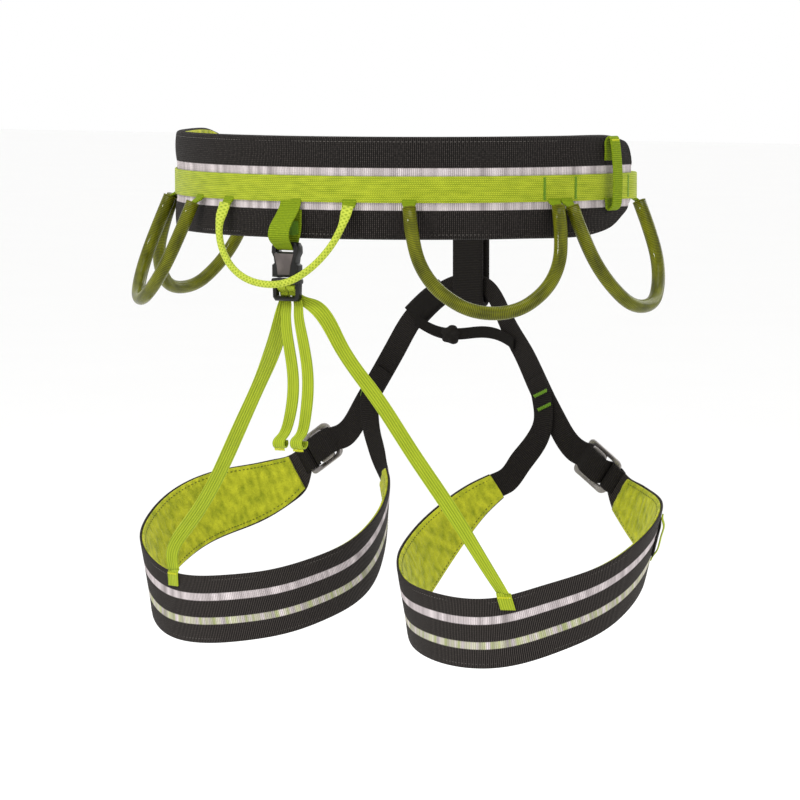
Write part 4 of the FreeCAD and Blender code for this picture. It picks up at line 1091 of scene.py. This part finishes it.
def make_leg_straps(side, name, body):
    half = band_profile(-0.9, 0.9, 14)
    end_across = leg_row(-134)[1] * -1
    inner = [((60.5, 69.0, -134), (0.86, 0, 0.5), 14), ((66.5, 66.6, -143), (0.93, 0, 0.36), 15.5),
             ((69.5, 65.0, -152), (1, 0, 0.1), 15.5), ((70, 64.2, -163), (1, 0, -0.1), 15),
             ((67.8, 62.6, -172), (0.93, 0.1, -0.35), 15.5),
             ((63, 59.3, -181.5), (0.75, 0.15, -0.62), 16),
             ((56.6, 55.2, -191.5), (0.62, 0.2, -0.66), 16.5),
             (leg_point(-138, -203.3) + Vector((0.6, 1.0, 0.6)), end_across, 17),
             (leg_row(-134)[0] + Vector((0.5, -0.3, 0.4)), end_across, 17.4),
             (leg_row(-129)[0] + Vector((0.9, -0.6, 0.5)), leg_row(-129)[1] * -1, 17.6)]
    piece = strip("leg_inner_web_" + name, mirrored(inner, side), half, BLACK_WEB, None,
                  ("leg_inner_strap_" + name,), "black_webbing", step=1.2, side=side)
    blend_at_junction(piece)
    flat = (0.84, 0, 0.54)
    outer = [((70.4, 67.0, -149), flat, 16.5), ((78.6, 66.8, -161.8), flat, 16.5),
             ((86.5, 67.2, -174), flat, 17.3), ((94.5, 67.0, -181), (0.66, 0, 0.75), 18),
             (by_plate(-12.5, 2.4), PLATE_ACROSS, 18.3)]
    piece = strip("leg_outer_web_" + name, mirrored(outer, side), half, BLACK_WEB, None,
                  ("leg_outer_strap_" + name,), "black_webbing", step=1.2, side=side)
    blend_at_junction(piece)
    over = [(by_plate(-14, 1.9), PLATE_ACROSS, 18.3), (by_plate(-11.5, 4.0), PLATE_ACROSS, 18.5),
            (by_plate(-8, 6.4), PLATE_ACROSS, 18.5), (by_plate(-1, 7.0), PLATE_ACROSS, 18.5),
            (by_plate(4.0, 6.2), PLATE_ACROSS, 18.5), (by_plate(6.4, 3.4), PLATE_ACROSS, 18.5),
            (by_plate(7.2, 0.2), PLATE_ACROSS, 18), (by_plate(9.5, -1.9), PLATE_ACROSS, 16)]
    piece = strip("leg_web_turn_" + name, mirrored(over, side), band_profile(-0.75, 0.75, 14), BLACK_WEB,
                  None, (), "black_webbing", step=0.7, side=side)
    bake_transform(piece)
    fold = [(by_plate(18.5, 1.8), PLATE_ACROSS, 18.4), (by_plate(15.6, 3.6), PLATE_ACROSS, 18.2),
            (by_plate(12, 3.9), PLATE_ACROSS, 18.2), (by_plate(9.0, 2.6), PLATE_ACROSS, 18.2),
            (by_plate(8.7, 0.2), PLATE_ACROSS, 18.2), (by_plate(11.5, -1.0), PLATE_ACROSS, 18.2),
            (by_plate(16, -0.6), PLATE_ACROSS, 18.2), (by_plate(19, 0.9), PLATE_ACROSS, 18.4)]
    strip("leg_end_fold_" + name, mirrored(fold, side), band_profile(-0.6, 0.6, 14), BLACK_WEB, body, (),
          "black_webbing", step=0.7, side=side)
    tail_angles = (160, 153, 144, 133, 124, 115, 107)
    rises = (2, 5.5, 7, 6, 4.5, 3, 2)
    tail = [leg_row(a, rise, 15) for a, rise in zip(tail_angles, rises)]
    tail = [(p + (Vector((p.x - LEG_CENTRE[0], p.y - LEG_CENTRE[1], 0))).normalized() * 1.25, a, w)
            for p, a, w in tail]
    tail = [(by_plate(8.5, -2.0), PLATE_ACROSS, 16), (by_plate(14.5, -2.4), PLATE_ACROSS, 15.6)] + tail
    tail.reverse()
    strip("leg_web_end_" + name, mirrored(tail, side), band_profile(-0.7, 0.7, 12), BLACK_WEB, body,
          ("leg_tail_" + name,), "black_webbing", step=1.2, side=side)
    bars = {1: [(68.6, 62.9, -143.5), (71.3, 63.5, -152.5)], -1: [(72.5, 65.3, -152.0)]}[side]
    for number, (x, y, z) in enumerate(bars):
        tack = zigzag("leg_bartack_%s_%d" % (name, number), (x * side, y, z), (0.9 * side, 0, 0.42),
                      (-0.42 * side, 0, 0.9), 11, 2.4 if side > 0 else 5, 16, GREEN_THREAD, None, 0.45)
        blend_at_junction(tack)


def make_leg_buckle(side, name, body):
    along = Vector((PLATE_ALONG.x * side, PLATE_ALONG.y, PLATE_ALONG.z))
    centre = Vector((PLATE_CENTRE.x * side, PLATE_CENTRE.y, PLATE_CENTRE.z))
    holes = [round_box(4.2, 9.7, 1.2, (shift, 0)) for shift in (-5.8, 5.8)]
    matrix = local_matrix(centre + Vector((0, -1.2, 0)), along, (0, -1, 0))

    def bent(x, y):
        """The side rails rise at both ends of the plate."""
        return 0.012 * y * y * max(0.0, abs(y) - 9) / 5 + 0.0015 * x * x
    plate("leg_buckle_plate_" + name, [round_box(15, 13.5, 4.5)] + holes, 2.4, 0.85, matrix, METAL,
          bend=bent, body=body, nodes=("leg_buckle_frame_" + name,), slot_name="buckle_metal")
    bar_centre = centre + along * -3.2 + Vector((0, -3.8, 0))
    matrix = local_matrix(bar_centre, along, (0, -1, 0))
    plate("leg_buckle_lock_" + name, [round_box(6.5, 11, 3.5)], 2.0, 0.7, matrix, METAL,
          body="leg_bar_" + name, nodes=("leg_buckle_bar_" + name,), slot_name="buckle_metal")


def make_leg_keeper(side, name, body):
    base, across, _ = leg_row(117)
    outward = Vector((base.x - LEG_CENTRE[0], base.y - LEG_CENTRE[1], 0)).normalized()
    around = UP.cross(outward)
    arch = [(19, 1.05), (15.5, 1.6), (12, 3.3), (4, 3.8), (-4, 3.9), (-8.5, 3.3), (-12, 1.7), (-15, 1.15)]
    rows = [(base + across * rise + outward * offset, around, 7) for rise, offset in arch]
    strip("leg_keeper_" + name, mirrored(rows, side), band_profile(-0.5, 0.5, 20, 4, 0.1), ELASTIC, body,
          ("leg_tail_keeper_" + name,), "green_webbing", step=0.8, side=side)
    point, lean, _ = leg_row(HEM_ANGLE[side])
    out = Vector((point.x - LEG_CENTRE[0], point.y - LEG_CENTRE[1], 0)).normalized()
    rows = [(point + lean * rise + out * offset, UP.cross(out), 9.8)
            for rise, offset in ((24.4, 0.2), (22.6, 1.0), (18, 1.15), (13.2, 1.05))]
    strip("riser_foot_" + name, mirrored(rows, side), band_profile(-0.7, 0.7, 24, 6, 0.1), ELASTIC, body,
          ("riser_hem_" + name,), "lime_elastic", step=0.8, side=side)
    middle = mirrored([(point + lean * 21.6 + out * 2.0, UP.cross(out), 1)], side)[0]
    zigzag("riser_foot_stitch_" + name, middle[0], middle[1], lean, 8.6, 1.6, 18, YELLOW_THREAD, body, 0.3)


# ---- bridge between the leg loops ----

BRIDGE_ROUTE = [((-71, 67, -150), 16.5), ((-62.5, 70.5, -134), 16.5), ((-53, 74.5, -115.5), 16.5),
                ((-42, 78.4, -96.5), 15.5), ((-30, 81.7, -84.5), 14), ((-21.5, 83.2, -78.2), 13),
                ((-12, 84.1, -73.8), 12.4), ((0, 84.3, -72), 12), ((12, 84.1, -74.4), 12), ((25, 82, -88.4), 12.5),
                ((36.5, 78.4, -104.5), 14), ((48.5, 74.5, -118.5), 15.5), ((60, 70.5, -134.5), 16.5),
                ((71, 67, -150), 16.5)]


def bridge_rows():
    path = [(Vector(point), width) for point, width in BRIDGE_ROUTE]
    rows = []
    for index, (point, width) in enumerate(path):
        run = path[min(index + 1, len(path) - 1)][0] - path[max(index - 1, 0)][0]
        rows.append((point, Vector((-run.z, 0, run.x)).normalized(), width))
    return rows


def make_bridge():
    rows = bridge_rows()
    strip("bridge_web", rows, band_profile(-0.95, 0.95, 14), BLACK_WEB, "root", ("bridge_webbing",),
          "black_webbing", step=1.3)
    covered = [(point, across, width) for (point, across, _), width in zip(rows[3:6], (19.5, 18.5, 17.5))]
    strip("bridge_sleeve_tube", covered, band_profile(-2.5, 2.5, 14), SMOOTH_BLACK, "root",
          ("bridge_sleeve",), "black_webbing", step=1.2)
    path = [(-38, 72.6, -98.5), (-29, 73.6, -103), (-20, 74.5, -106.2), (-10, 75, -107.2), (0, 75.3, -106.6),
            (14, 75.7, -105), (28, 75.4, -106.5), (41, 73.6, -112)]
    rows = [(Vector(point), Vector((0, 0, 1)), 8) for point in path]
    strip("bridge_tie", rows, band_profile(-0.7, 0.7, 10), SMOOTH_BLACK, "root", ("bridge_keeper_strap",),
          "black_webbing", step=1.2)
    make_knot()


def make_knot():
    """The sliding keeper: a soft lump of tape gripping the tie."""
    centre = Vector((-10, 74.95, -107.1))
    bm = bmesh.new()
    bmesh.ops.create_uvsphere(bm, u_segments=40, v_segments=24, radius=1.0)
    for vert in bm.verts:
        x, y, z = vert.co
        grow = 1 + 0.10 * math.sin(5 * math.atan2(z, x) + 1.0) + 0.12 * noise.noise(vert.co * 1.6)
        vert.co = Vector((x * 7.6, y * 4.1, z * 6.2)) * grow
        vert.co += centre + Vector((0, 0, -0.6))
    finished("bridge_knot", bm, SMOOTH_BLACK, "bridge_slider", ("bridge_keeper_slider",), "buckle_plastic")


# ---- assembly ----

make_camera()
make_stage()
make_belt()
make_waist_buckle()
make_front_loops()
for loop_name, loop_start, loop_end in GEAR_LOOPS:
    make_gear_loop(loop_name, loop_start, loop_end)
make_haul_loop()
make_clip_slot("right", 80.5)
make_clip_slot("left", -80.5)
make_riser_anchor()
make_rear_buckle()
make_risers()
for leg_side, leg_name in SIDES:
    make_leg(leg_side, leg_name)
make_bridge()
